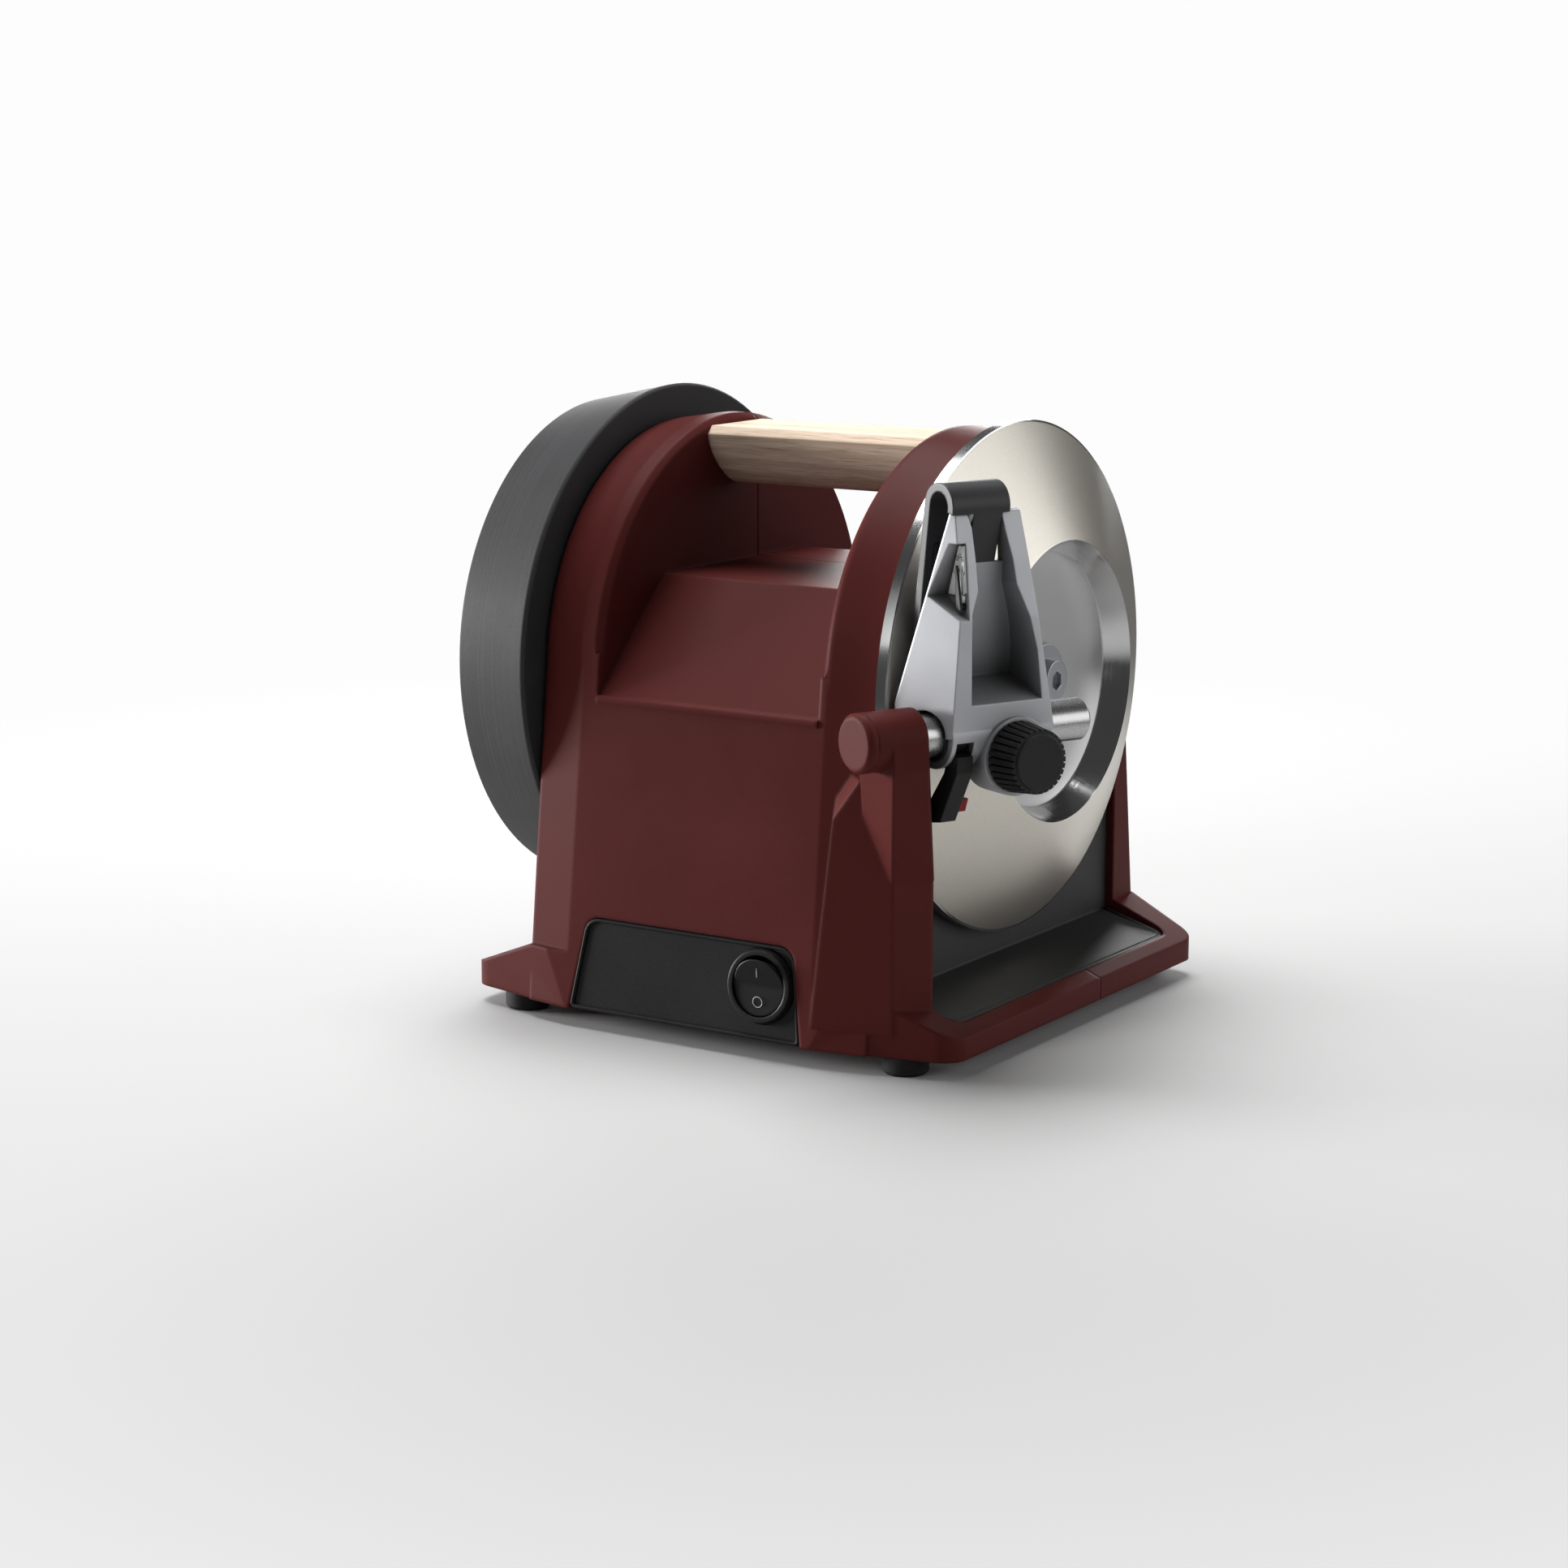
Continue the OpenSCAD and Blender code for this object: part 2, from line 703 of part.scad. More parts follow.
// Round rocker: two faces that meet in a shallow valley, on a pin along X
module switch_rocker() {
    color([0.13, 0.13, 0.13]) machine() at_face() translate([switch_x, 0, switch_up]) {
        rotate([rocker_tilt, 0, 0]) intersection() {
            y_round(-far, far, rocker_d / 2 - gap, rocker_d / 2 - gap);
            x_prism(-rocker_d / 2, rocker_d / 2) polygon([
                [panel_sink - bezel_rise - cut, rocker_d / 2], [panel_sink - bezel_rise + cut, 0],
                [panel_sink - bezel_rise - cut, -rocker_d / 2], [rocker_drop, -rocker_pin_d],
                [rocker_drop, rocker_pin_d]
            ]);
        }
        x_round(-rocker_axle_len / 2, rocker_axle_len / 2, rocker_axle_d / 2, rocker_axle_d / 2, 0, 0);
    }
}

// Plate that closes the base, its screws and the feet
module base_plate() {
    color([0.2, 0.2, 0.2]) machine() difference() {
        translate([-plate_len / 2, -plate_depth / 2, plate_z])
            cube([plate_len, plate_depth, plate_t - seat]);
        for (x = [-1, 1]) for (y = [-1, 1]) base_screw_hole(x, y);
        for (i = [-3:3]) for (side = [-1, 1]) translate([i * vent_step - vent_w / 2,
            side * vent_y - vent_len / 2, plate_z - cut]) cube([vent_w, vent_len, plate_t + cut * 2]);
    }
}
vent_step = 9;
vent_w = 4;
vent_len = 22;
vent_y = 52;
module base_screws() {
    color([0.7, 0.7, 0.72]) machine() for (x = [-1, 1]) for (y = [-1, 1])
        translate([x * base_screw_x, y * base_screw_y, plate_z - head_h]) {
            cylinder(h = head_h - seat, d = head_d);
            cylinder(h = screw_len, d = screw_d);
        }
}
module housing_screws() {
    color([0.7, 0.7, 0.72]) machine() for (place = joint_screw_places) {
        y_round(seam_y - joint_screw_len / 2 + cut, seam_y + joint_screw_len / 2 + cut / 2,
            screw_d / 2, screw_d / 2, place[0], place[1]);
        y_round(seam_y + joint_screw_len / 2 + seat, seam_y + joint_screw_len / 2 + head_h,
            head_d / 2, head_d / 2, place[0], place[1]);
    }
}
module foot(x, y) {
    color([0.12, 0.12, 0.12]) machine() translate([x * foot_x, y * foot_y, 0]) {
        cylinder(h = cut, d1 = foot_d - cut * 2, d2 = foot_d);
        translate([0, 0, cut]) cylinder(h = foot_h - cut - seat, d = foot_d);
        cylinder(h = foot_h + foot_stem_h, d = foot_stem_d);
    }
}

// Oak handle: flat top with eased edges and a boat-shaped belly
belly_power = 1.5;
belly_steps = 14;
handle_edge = 2.8;
function belly_y(t) = pow(1 - pow(t, belly_power), 1 / belly_power);
module handle_outline() {
    widest = handle_top - handle_edge;
    deep = handle_h - handle_edge;
    side = [for (i = [0:belly_steps]) [handle_w / 2 * belly_y(sin(90 * i / belly_steps)),
        widest - deep * sin(90 * i / belly_steps)]];
    half = concat([[handle_w / 2 - handle_edge, handle_top]], side);
    polygon(concat(half, [for (i = [belly_steps - 1:-1:0]) [-side[i][0], side[i][1]]],
        [[-handle_w / 2 + handle_edge, handle_top]]));
}
module handle() {
    color([0.76, 0.6, 0.45]) machine() difference() {
        x_prism(-left_inner + seat, right_inner - seat) handle_outline();
        for (side = [-1, 1]) x_round(side > 0 ? right_inner - handle_bite : -left_inner - cut,
            side > 0 ? right_inner + cut : -left_inner + handle_bite, screw_d / 2 + seat,
            screw_d / 2 + seat, 0, handle_z);
    }
}
handle_bite = 26;
module handle_screws() {
    color([0.7, 0.7, 0.72]) machine() for (side = [-1, 1]) {
        x_in = side > 0 ? right_inner : left_inner;
        mirror([side > 0 ? 0 : 1, 0, 0]) {
            x_round(x_in - handle_bite + cut, x_in + handle_grip + cut, screw_d / 2,
                screw_d / 2, 0, handle_z);
            x_round(x_in + handle_grip + seat, x_in + handle_grip + head_h, head_d / 2,
                head_d / 2, 0, handle_z);
        }
    }
}

// Guide bar with chamfered free end, and the cap that closes its holder
bar_edge = 1.2;
module guide_bar() {
    color([0.75, 0.75, 0.76]) at_bar() {
        y_round(bar_in, bar_free - bar_edge, bar_d / 2, bar_d / 2);
        y_round(bar_free - bar_edge, bar_free, bar_d / 2, bar_d / 2 - bar_edge);
    }
}
module bar_cap() {
    color([0.38, 0.17, 0.16]) at_bar() {
        y_round(holder_front, holder_front + bar_edge, holder_r - bar_edge, holder_r);
        y_round(holder_front + bar_edge, holder_front + cap_t - seat, holder_r, holder_r);
    }
}

// Bearing with a groove between its rings on both sides
module bearing(x) {
    inner_r = shaft_d / 2 + fit;
    outer_r = bearing_d / 2;
    ball_r = (outer_r - inner_r) / 4;
    race_r = (outer_r + inner_r) / 2;
    color([0.72, 0.72, 0.74]) machine() difference() {
        x_round(x, x + bearing_t - seat, outer_r, outer_r);
        x_round(x - cut, x + bearing_t + cut, inner_r, inner_r);
        translate([x, 0, shaft_h]) rotate([0, 90, 0]) rotate_extrude() {
            translate([race_r - ball_r, -cut]) square([ball_r * 2, cut + ball_r]);
            translate([race_r - ball_r, bearing_t - ball_r]) square([ball_r * 2, cut + ball_r]);
        }
    }
}

// Main shaft with its two collars
module main_shaft() {
    color([0.75, 0.75, 0.76]) machine() {
        x_round(honing_out + hub_sink - flange_t - nut_t + cut, floor_x - seat,
            shaft_d / 2, shaft_d / 2);
        x_round(honing_in + seat, honing_in + honing_gap * 2, collar_d / 2, collar_d / 2);
        x_round(drive_x + drive_w + seat, floor_x - floor_t - seat, collar_d / 2, collar_d / 2);
    }
}

// Drive wheel with its lightening holes, and the rubber tyre on it
drive_rim = 6;
drive_hub_d = 30;
drive_web = 4;
drive_holes = 6;
drive_hole_d = 26;
module drive_wheel() {
    rim_in = drive_d / 2 - drive_rim;
    side = (drive_w - drive_web) / 2;
    color([0.25, 0.25, 0.27]) machine() translate([drive_x, 0, shaft_h]) rotate([0, 90, 0])
        difference() {
            rotate_extrude() polygon([
                [shaft_d / 2 + seat, 0], [drive_hub_d / 2, 0], [drive_hub_d / 2, side],
                [rim_in, side], [rim_in, 0], [drive_d / 2 - seat, 0], [drive_d / 2 - seat, drive_w],
                [rim_in, drive_w], [rim_in, drive_w - side], [drive_hub_d / 2, drive_w - side],
                [drive_hub_d / 2, drive_w], [shaft_d / 2 + seat, drive_w]
            ]);
            for (i = [0:drive_holes - 1]) rotate([0, 0, i * 360 / drive_holes])
                translate([(rim_in + drive_hub_d / 2) / 2, 0, -cut])
                    cylinder(h = drive_w + cut * 2, d = drive_hole_d);
        }
}
module drive_tyre() {
    color([0.1, 0.1, 0.1]) machine() difference() {
        x_round(drive_x, drive_x + drive_w, drive_r, drive_r);
        x_round(drive_x - cut, drive_x + drive_w + cut, drive_d / 2, drive_d / 2);
    }
}

// Honing wheel with its sunk hub, flange and nut
honing_edge = 1;
module honing_wheel() {
    slope = (honing_d - honing_outer_d) / 2 / honing_w;
    color([0.27, 0.27, 0.29]) machine() difference() {
        union() {
            x_round(honing_out, honing_out + honing_edge, honing_outer_d / 2 - honing_edge,
                honing_outer_d / 2 + honing_edge * slope);
            x_round(honing_out + honing_edge, honing_in - honing_edge,
                honing_outer_d / 2 + honing_edge * slope, honing_d / 2 - honing_edge * slope);
            x_round(honing_in - honing_edge, honing_in, honing_d / 2 - honing_edge * slope,
                honing_d / 2 - honing_edge);
        }
        x_round(honing_out - cut, honing_in + cut, shaft_d / 2 + seat, shaft_d / 2 + seat);
        x_round(honing_out - cut, honing_out + hub_sink, hub_d / 2, hub_d / 2);
    }
}
module honing_flange() {
    x0 = honing_out + hub_sink - flange_t;
    color([0.72, 0.72, 0.74]) machine() difference() {
        x_round(x0, x0 + flange_t - seat, nut_wide, nut_wide + cut);
        x_round(x0 - cut, x0 + flange_t + cut, shaft_d / 2 + seat, shaft_d / 2 + seat);
    }
}
module honing_nut() {
    x0 = honing_out + hub_sink - flange_t - nut_t;
    color([0.72, 0.72, 0.74]) machine() difference() {
        translate([x0, 0, shaft_h]) rotate([0, 90, 0])
            cylinder(h = nut_t - seat, d = nut_wide / cos(30), $fn = 6);
        x_round(x0 + cut - seat, x0 + nut_t + cut, shaft_d / 2 + seat, shaft_d / 2 + seat);
    }
}

// Diamond disc: coned face, deep centre recess and a web of even thickness behind them
module diamond_wheel() {
    back = disc_t / cos(dish_angle);
    color([0.72, 0.7, 0.66]) machine() translate([0, 0, shaft_h]) rotate([0, 90, 0])
        rotate_extrude() polygon([
            [shaft_d / 2 + fit, floor_x - floor_t], [recess_floor_d / 2 + seat, floor_x - floor_t],
            [recess_d / 2 + disc_t / 2, disc_x + dish - back - disc_t / 2],
            [disc_r - disc_t, disc_back], [disc_r, disc_back], [disc_r, disc_x],
            [recess_d / 2, disc_x + dish], [recess_floor_d / 2, floor_x],
            [shaft_d / 2 + fit, floor_x]
        ]);
}
washer_d = 26;
washer_t = 1.6;
wheel_head_d = 15;
wheel_head_h = 4.2;
hex_wide = 6;
module disc_washer() {
    color([0.75, 0.75, 0.76]) machine() difference() {
        x_round(floor_x + seat, floor_x + washer_t, washer_d / 2, washer_d / 2 - washer_t / 2);
        x_round(floor_x - cut, floor_x + washer_t + cut, shaft_d / 4 + fit, shaft_d / 4 + fit);
    }
}
module wheel_screw() {
    x0 = floor_x + washer_t + seat;
    color([0.75, 0.75, 0.76]) machine() difference() {
        union() {
            x_round(floor_x + seat, x0 + cut, shaft_d / 4, shaft_d / 4);
            x_round(x0, x0 + wheel_head_h, wheel_head_d / 2, wheel_head_d / 2 - cut / 2);
        }
        translate([x0 + wheel_head_h / 2, 0, shaft_h]) rotate([0, 90, 0])
            cylinder(h = wheel_head_h, d = hex_wide / cos(30), $fn = 6);
    }
}

// Motor: cradle, stator with its windings, end shields, rotor, shaft with the roller, and fan
cradle_wide = 46;
module motor_cradle() {
    color([0.6, 0.6, 0.62]) machine() difference() {
        translate([stator_x + cut, -cradle_wide / 2, plate_top])
            cube([stator_len - cut * 2, cradle_wide, motor_z - plate_top - motor_d / 4]);
        x_round(stator_x, stator_x + stator_len, motor_d / 2 + seat, motor_d / 2 + seat,
            0, motor_z);
    }
}
module motor_ring(x0, x1, r_out, r_in) {
    difference() {
        x_round(x0, x1, r_out, r_out, 0, motor_z);
        x_round(x0 - cut, x1 + cut, r_in, r_in, 0, motor_z);
    }
}
module motor_stator() {
    bore = rotor_d / 2 + gap;
    color([0.55, 0.42, 0.3]) machine() {
        motor_ring(stator_x, stator_x + stator_len, motor_d / 2, bore);
        motor_ring(stator_x - winding_len, stator_x + cut, motor_d / 2 - wall * 2, bore + wall);
        motor_ring(stator_x + stator_len - cut, stator_x + stator_len + winding_len,
            motor_d / 2 - wall * 2, bore + wall);
    }
}
module shield() {
    difference() {
        x_round(0, shield_len, motor_d / 2, motor_d / 2, 0, 0);
        x_round(-cut, shield_len - shield_t, motor_d / 2 - wall, motor_d / 2 - wall, 0, 0);
        x_round(-cut, shield_len + cut, rotor_shaft_d / 2 + fit, rotor_shaft_d / 2 + fit, 0, 0);
        for (i = [0:5]) rotate([i * 60, 0, 0]) x_round(shield_len - shield_t - cut,
            shield_len + cut, motor_d / 12, motor_d / 12, motor_d / 3.4, 0);
    }
}
module left_shield() {
    color([0.6, 0.6, 0.62]) machine() translate([stator_x - seat, 0, motor_z])
        mirror([1, 0, 0]) shield();
}
module right_shield() {
    color([0.6, 0.6, 0.62]) machine() translate([stator_x + stator_len + seat, 0, motor_z])
        shield();
}
module rotor_core() {
    color([0.5, 0.5, 0.52]) machine() motor_ring(stator_x + cut, stator_x + stator_len - cut,
        rotor_d / 2, rotor_shaft_d / 2 + seat);
}
module rotor_shaft() {
    color([0.75, 0.75, 0.76]) machine() {
        x_round(fan_x, drive_x + drive_w, rotor_shaft_d / 2, rotor_shaft_d / 2, 0, motor_z);
        x_round(drive_x - cut, drive_x + drive_w + cut, roller_d / 2 - seat, roller_d / 2 - seat,
            0, motor_z);
    }
}
module motor_fan() {
    color([0.15, 0.15, 0.15]) machine() translate([fan_x, 0, motor_z]) difference() {
        union() {
            x_round(0, fan_len, rotor_shaft_d, rotor_shaft_d, 0, 0);
            x_round(fan_len - cut * 2, fan_len, fan_d / 2, fan_d / 2, 0, 0);
            for (i = [0:fan_blades - 1]) rotate([i * 360 / fan_blades, 0, 0])
                translate([0, rotor_shaft_d - cut, -cut / 2])
                    cube([fan_len, fan_d / 2 - rotor_shaft_d, cut]);
        }
        x_round(-cut, fan_len + cut, rotor_shaft_d / 2 + seat, rotor_shaft_d / 2 + seat, 0, 0);
    }
}

// Capacitor and terminal block on the base plate, and the gland of the mains lead
capacitor_d = 24;
capacitor_len = 44;
capacitor_y = -52;
terminal_size = [32, 13, 14];
terminal_y = 50;
module run_capacitor() {
    color([0.8, 0.8, 0.8]) machine() {
        x_round(-capacitor_len / 2, capacitor_len / 2, capacitor_d / 2, capacitor_d / 2,
            capacitor_y, plate_top + capacitor_d / 2);
        translate([-capacitor_len / 4, capacitor_y - capacitor_d / 4, plate_top])
            cube([capacitor_len / 2, capacitor_d / 2, capacitor_d / 4]);
    }
}
module terminal_block() {
    color([0.85, 0.85, 0.82]) machine() difference() {
        translate([-terminal_size[0] / 2, terminal_y, plate_top]) cube(terminal_size);
        for (i = [-1:1]) translate([i * terminal_size[0] / 3, terminal_y + terminal_size[1] / 2,
            plate_top + terminal_size[2] / 2]) cylinder(h = terminal_size[2], d = screw_d);
    }
}
module cord_gland() {
    color([0.1, 0.1, 0.1]) machine() at_back() difference() {
        union() {
            y_round(-seat - cut, gland_len, gland_neck_d / 2, gland_neck_d / 2, gland_x, gland_up);
            y_round(-gland_out, -seat, gland_d / 2 - cut, gland_d / 2, gland_x, gland_up);
        }
        y_round(-gland_out - cut, gland_len + cut, gland_bore_d / 2, gland_bore_d / 2,
            gland_x, gland_up);
    }
}

// Sleeve that slides on the bar and carries the stop lever
module guide_sleeve() {
    color([0.1, 0.1, 0.1]) at_bar() difference() {
        y_round(-sleeve_over, barrel_len + sleeve_over, sleeve_r, sleeve_r);
        y_round(-cut * 2, barrel_len + cut * 2, bar_d / 2 + fit, bar_d / 2 + fit);
    }
}
lever_points_share = [[0.62, -0.47], [0.98, -0.55], [0.95, -1.05], [0.12, -2.6], [-0.5, -2.7],
    [-0.5, -2.15], [0.3, -1.1], [0.44, -0.64]];
module stop_lever() {
    color([0.12, 0.12, 0.12]) at_bar() difference() {
        y_prism(lever_left, lever_right) polygon(barrel_r * lever_points_share);
        y_round(0, barrel_len, sleeve_r + seat, sleeve_r + seat);
    }
}
tab_points_share = [[-0.3, -1.95], [0.25, -1.95], [0.1, -2.35], [-0.3, -2.35]];
module stop_tab() {
    color([0.45, 0.08, 0.1]) at_bar() y_prism(lever_right + seat, lever_right + holder_r / 2.4)
        polygon(barrel_r * tab_points_share);
}

// Side view of the guide body: back along the slot, front bulging below and drawn in above
module body_side() {
    polygon([
        [rear_in, rear_low], arch_foot(slot_w / 2), arch_foot(front_top - arch_x),
        [front_in - cut / 2, guide_h * upper_share], [front_mid, guide_h * mid_share],
        [barrel_r - cut / 4, 0], [-barrel_r * 0.7, 0], [rear_in + cut / 2, rear_low * 0.65]
    ]);
}
// Room between the arms: a narrow neck above a wide foot, in shares of the guide's height
trough_left_share = [[0.093, 0.1], [0.087, 0.374], [0.086, 0.506], [0.121, 0.601],
    [0.115, 0.743], [0.107, 0.861], [0.065, 0.991], [0.065, 1.2]];
trough_right_share = [[0.25, 1.2], [0.25, 0.99], [0.274, 0.843], [0.303, 0.723],
    [0.317, 0.621], [0.379, 0.48], [0.421, 0.339], [0.453, 0.1]];
module trough() {
    top = guide_h * 1.2;
    intersection() {
        x_prism(-far / 4, far / 4) polygon(guide_h * concat(trough_left_share, trough_right_share));
        y_prism(-far / 4, far / 4) polygon([
            [slot_line(guide_h * 0.214) + back_wall, guide_h * 0.214],
            [slot_line(jaw_low - seat) + back_wall, jaw_low - seat],
            [slot_line(jaw_low - seat) - back_wall, jaw_low - seat],
            [slot_line(top) - back_wall * 3, top], [barrel_r * 2.5, top],
            [barrel_r * 2.5, guide_h * 0.13], [front_mid, guide_h * 0.13]
        ]);
    }
}
// Window at the corner of the left arm, where the pointer and its scale show
window_share = [[-0.013, 0.578], [0.077, 0.8], [0.2, 0.8], [0.2, 0.48], [0.15, 0.485]];
module scale_window() {
    y_prism(-far / 8, plate_face) polygon(guide_h * window_share);
}
module side_block(y0, turn, draft) {
    translate([front_in, y0, side_low]) rotate([0, 0, turn]) rotate([draft, 0, 0])
        translate([-far / 2, turn > 0 ? -far : 0, -far / 2]) cube([far, far, far]);
}
module guide_body() {
    color([0.72, 0.73, 0.75]) at_bar() difference() {
        union() {
            difference() {
                y_prism(-barrel_r, barrel_len + barrel_r) body_side();
                side_block(0, side_turn, -left_draft);
                side_block(right_low, -side_turn, right_draft);
                trough();
                scale_window();
                jaw_form(fit * 2);
                y_round(pointer_y, plate_face + cut * 2, pivot_d / 2 + fit, pivot_d / 2 + fit,
                    pivot_x, pivot_z);
            }
            y_round(0, barrel_len, barrel_r, barrel_r);
            x_round(0, boss_end, boss_r, boss_r, knob_y, knob_z);
        }
        y_round(-barrel_r - cut, barrel_len + barrel_r, sleeve_r + fit, sleeve_r + fit);
        x_round(boss_end - knob_pin_len - gap, boss_end + cut, knob_pin_d / 2 + fit,
            knob_pin_d / 2 + fit, knob_y, knob_z);
        y_prism(lever_left - lever_play, lever_right + lever_play)
            polygon(barrel_r * [[0, 0], [1.6, -0.22], [1.6, -1.6], [0.1, -1.6]]);
    }
}
module scale_plate() {
    color([0.85, 0.85, 0.86]) at_bar() difference() {
        y_prism(plate_face - scale_t, plate_face - seat) polygon(guide_h * [
            [0.01, 0.585], [0.079, 0.79], [0.112, 0.79], [0.125, 0.66], [0.13, 0.6], [0.1, 0.585]
        ]);
        y_round(0, barrel_len, pivot_d, pivot_d, pivot_x, pivot_z);
    }
}

// Black channel that takes the back of the knife: arch, leg towards the disc and front leg
module jaw_form(grow) {
    mid_x = slot_line(jaw_z) - slot_w / 2;
    arch_r = slot_w / 2 + jaw_wall;
    y_prism(jaw_left - grow, jaw_right + grow) {
        intersection() {
            translate([mid_x, jaw_z]) difference() {
                circle(arch_r + grow);
                circle(slot_w / 2 - grow);
            }
            translate([mid_x, jaw_z]) rotate(-slot_lean)
                translate([-arch_r - cut, -grow]) square([arch_r * 2 + cut * 2, arch_r + cut * 2]);
        }
        polygon([
            [mid_x - (arch_r + grow) * cos(slot_lean), jaw_z + arch_r * sin(slot_lean)],
            [mid_x - (slot_w / 2) * cos(slot_lean), jaw_z + slot_w / 2 * sin(slot_lean)],
            [leg_knee_back + leg_knee_t, leg_knee], [leg_foot_back + leg_foot_t, leg_foot],
            [leg_foot_back, leg_foot], [leg_knee_back, leg_knee]
        ]);
    }
    y_prism(jaw_leg_left - grow, jaw_leg_right + grow) polygon([
        [mid_x + (slot_w / 2 - grow) * cos(slot_lean), jaw_z - slot_w / 2 * sin(slot_lean) + cut],
        [mid_x + (arch_r + grow) * cos(slot_lean), jaw_z - arch_r * sin(slot_lean) + cut],
        [slot_line(jaw_low) + jaw_wall + grow, jaw_low], [slot_line(jaw_low) - grow, jaw_low]
    ]);
}
module guide_jaw() {
    color([0.13, 0.13, 0.14]) at_bar() jaw_form(0);
}

// Outline of the fluted knob: a land and a groove for each step round it
function flute(r, turn) = [r * cos(turn), r * sin(turn)];
function flute_points(step, outer, inner) = [
    for (i = [0:knob_grooves - 1]) for (j = [0:3])
        flute(j == 0 || j == 3 ? outer : inner, (i + [0.28, 0.4, 0.6, 0.72][j]) * step)
];
// Fluted angle knob on its pin
module angle_knob() {
    x0 = boss_end + gap;
    root_r = knob_d / 2;
    color([0.13, 0.13, 0.13]) at_bar() translate([0, knob_y, knob_z]) {
        intersection() {
            x_round(x0, x0 + knob_len, root_r, root_r - knob_taper, 0, 0);
            x_prism(x0, x0 + knob_len - knob_face)
                polygon(flute_points(360 / knob_grooves, root_r + cut, root_r - groove_deep));
        }
        x_round(x0 + knob_len - knob_face - cut, x0 + knob_len, root_r - groove_deep - knob_face / 2,
            root_r - groove_deep - knob_face, 0, 0);
        x_round(boss_end - knob_pin_len, x0 + cut, knob_pin_d / 2, knob_pin_d / 2, 0, 0);
    }
}

// Needle of the angle scale, on a pin in the arm
module angle_pointer() {
    color([0.1, 0.1, 0.1]) at_bar() {
        y_prism(pointer_y, pointer_y + pointer_t) polygon([
            [pivot_x - pivot_d * 0.7, pivot_z - pivot_d * 0.6],
            [pivot_x + pivot_d * 0.7, pivot_z - pivot_d * 0.6],
            [pivot_x - pivot_d * 0.65, pivot_z + pointer_len],
            [pivot_x - pivot_d * 0.9, pivot_z + pointer_len]
        ]);
        y_round(pointer_y + pointer_t / 2, plate_face + cut, pivot_d / 2, pivot_d / 2,
            pivot_x, pivot_z);
    }
}

front_housing();
rear_housing();
side_cover();
switch_panel();
switch_bezel();
switch_body();
switch_rocker();
base_plate();
base_screws();
housing_screws();
foot(-1, -1);  // foot_front_left
foot(1, -1);  // foot_front_right
foot(-1, 1);  // foot_rear_left
foot(1, 1);  // foot_rear_right
handle();
handle_screws();
guide_bar();
bar_cap();
bearing(left_bearing_x);  // left_bearing
bearing(right_bearing_x);  // right_bearing
main_shaft();
drive_wheel();
drive_tyre();
honing_wheel();
honing_flange();
honing_nut();
diamond_wheel();
disc_washer();
wheel_screw();
motor_cradle();
motor_stator();
left_shield();
right_shield();
rotor_core();
rotor_shaft();
motor_fan();
run_capacitor();
terminal_block();
cord_gland();
guide_sleeve();
stop_lever();
stop_tab();
guide_body();
scale_plate();
guide_jaw();
angle_knob();
angle_pointer();
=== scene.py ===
# Electric knife sharpener: painted housing, oak handle, honing wheel, coned disc, knife guide.
import json
from math import cos, pi, radians, sin

import bmesh
import bpy
from mathutils import Matrix, Vector


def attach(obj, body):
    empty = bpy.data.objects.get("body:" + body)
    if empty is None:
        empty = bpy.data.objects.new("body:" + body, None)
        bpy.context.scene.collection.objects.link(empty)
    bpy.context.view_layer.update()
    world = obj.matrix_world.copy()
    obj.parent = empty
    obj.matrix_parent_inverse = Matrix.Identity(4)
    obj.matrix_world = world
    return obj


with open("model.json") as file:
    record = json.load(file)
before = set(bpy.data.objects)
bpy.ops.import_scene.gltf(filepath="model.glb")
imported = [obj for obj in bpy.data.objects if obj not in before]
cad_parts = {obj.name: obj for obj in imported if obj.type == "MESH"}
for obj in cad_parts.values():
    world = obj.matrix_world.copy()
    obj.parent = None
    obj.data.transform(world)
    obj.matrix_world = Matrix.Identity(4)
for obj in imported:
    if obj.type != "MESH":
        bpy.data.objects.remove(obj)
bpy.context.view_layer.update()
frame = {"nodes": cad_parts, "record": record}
nodes = frame["nodes"]
print("frame loaded:", len(nodes), "nodes")

# Camera: turn and height round the target, in metres and degrees
cameraSettings = {
    "target": (-0.03063, 0.00731, 0.0715),
    "distance": 1.2364,
    "azimuth": 33.08,
    "elevation": 11.12,
    "lens": 79.09,
    "sensor": 36.0,
    "nearest": 0.05,
    "farthest": 50.0,
}


def placeCamera(settings):
    camera = bpy.data.cameras.new("camera")
    camera.lens = settings["lens"]
    camera.sensor_width = settings["sensor"]
    camera.clip_start = settings["nearest"]
    camera.clip_end = settings["farthest"]
    holder = bpy.data.objects.new("camera", camera)
    bpy.context.scene.collection.objects.link(holder)
    turn, rise = radians(settings["azimuth"]), radians(settings["elevation"])
    back = Vector((sin(turn) * cos(rise), -cos(turn) * cos(rise), sin(rise)))
    holder.location = Vector(settings["target"]) + back * settings["distance"]
    holder.rotation_euler = back.to_track_quat("Z", "Y").to_euler()
    bpy.context.scene.camera = holder


placeCamera(cameraSettings)
print("camera placed")

# Small helpers for node trees


def srgb(red, green, blue):
    def straight(value):
        value /= 255.0
        return value / 12.92 if value <= 0.04045 else ((value + 0.055) / 1.055) ** 2.4
    return (straight(red), straight(green), straight(blue), 1.0)


def addNode(tree, kind, **values):
    node = tree.nodes.new(kind)
    for key, value in values.items():
        setattr(node, key, value)
    return node


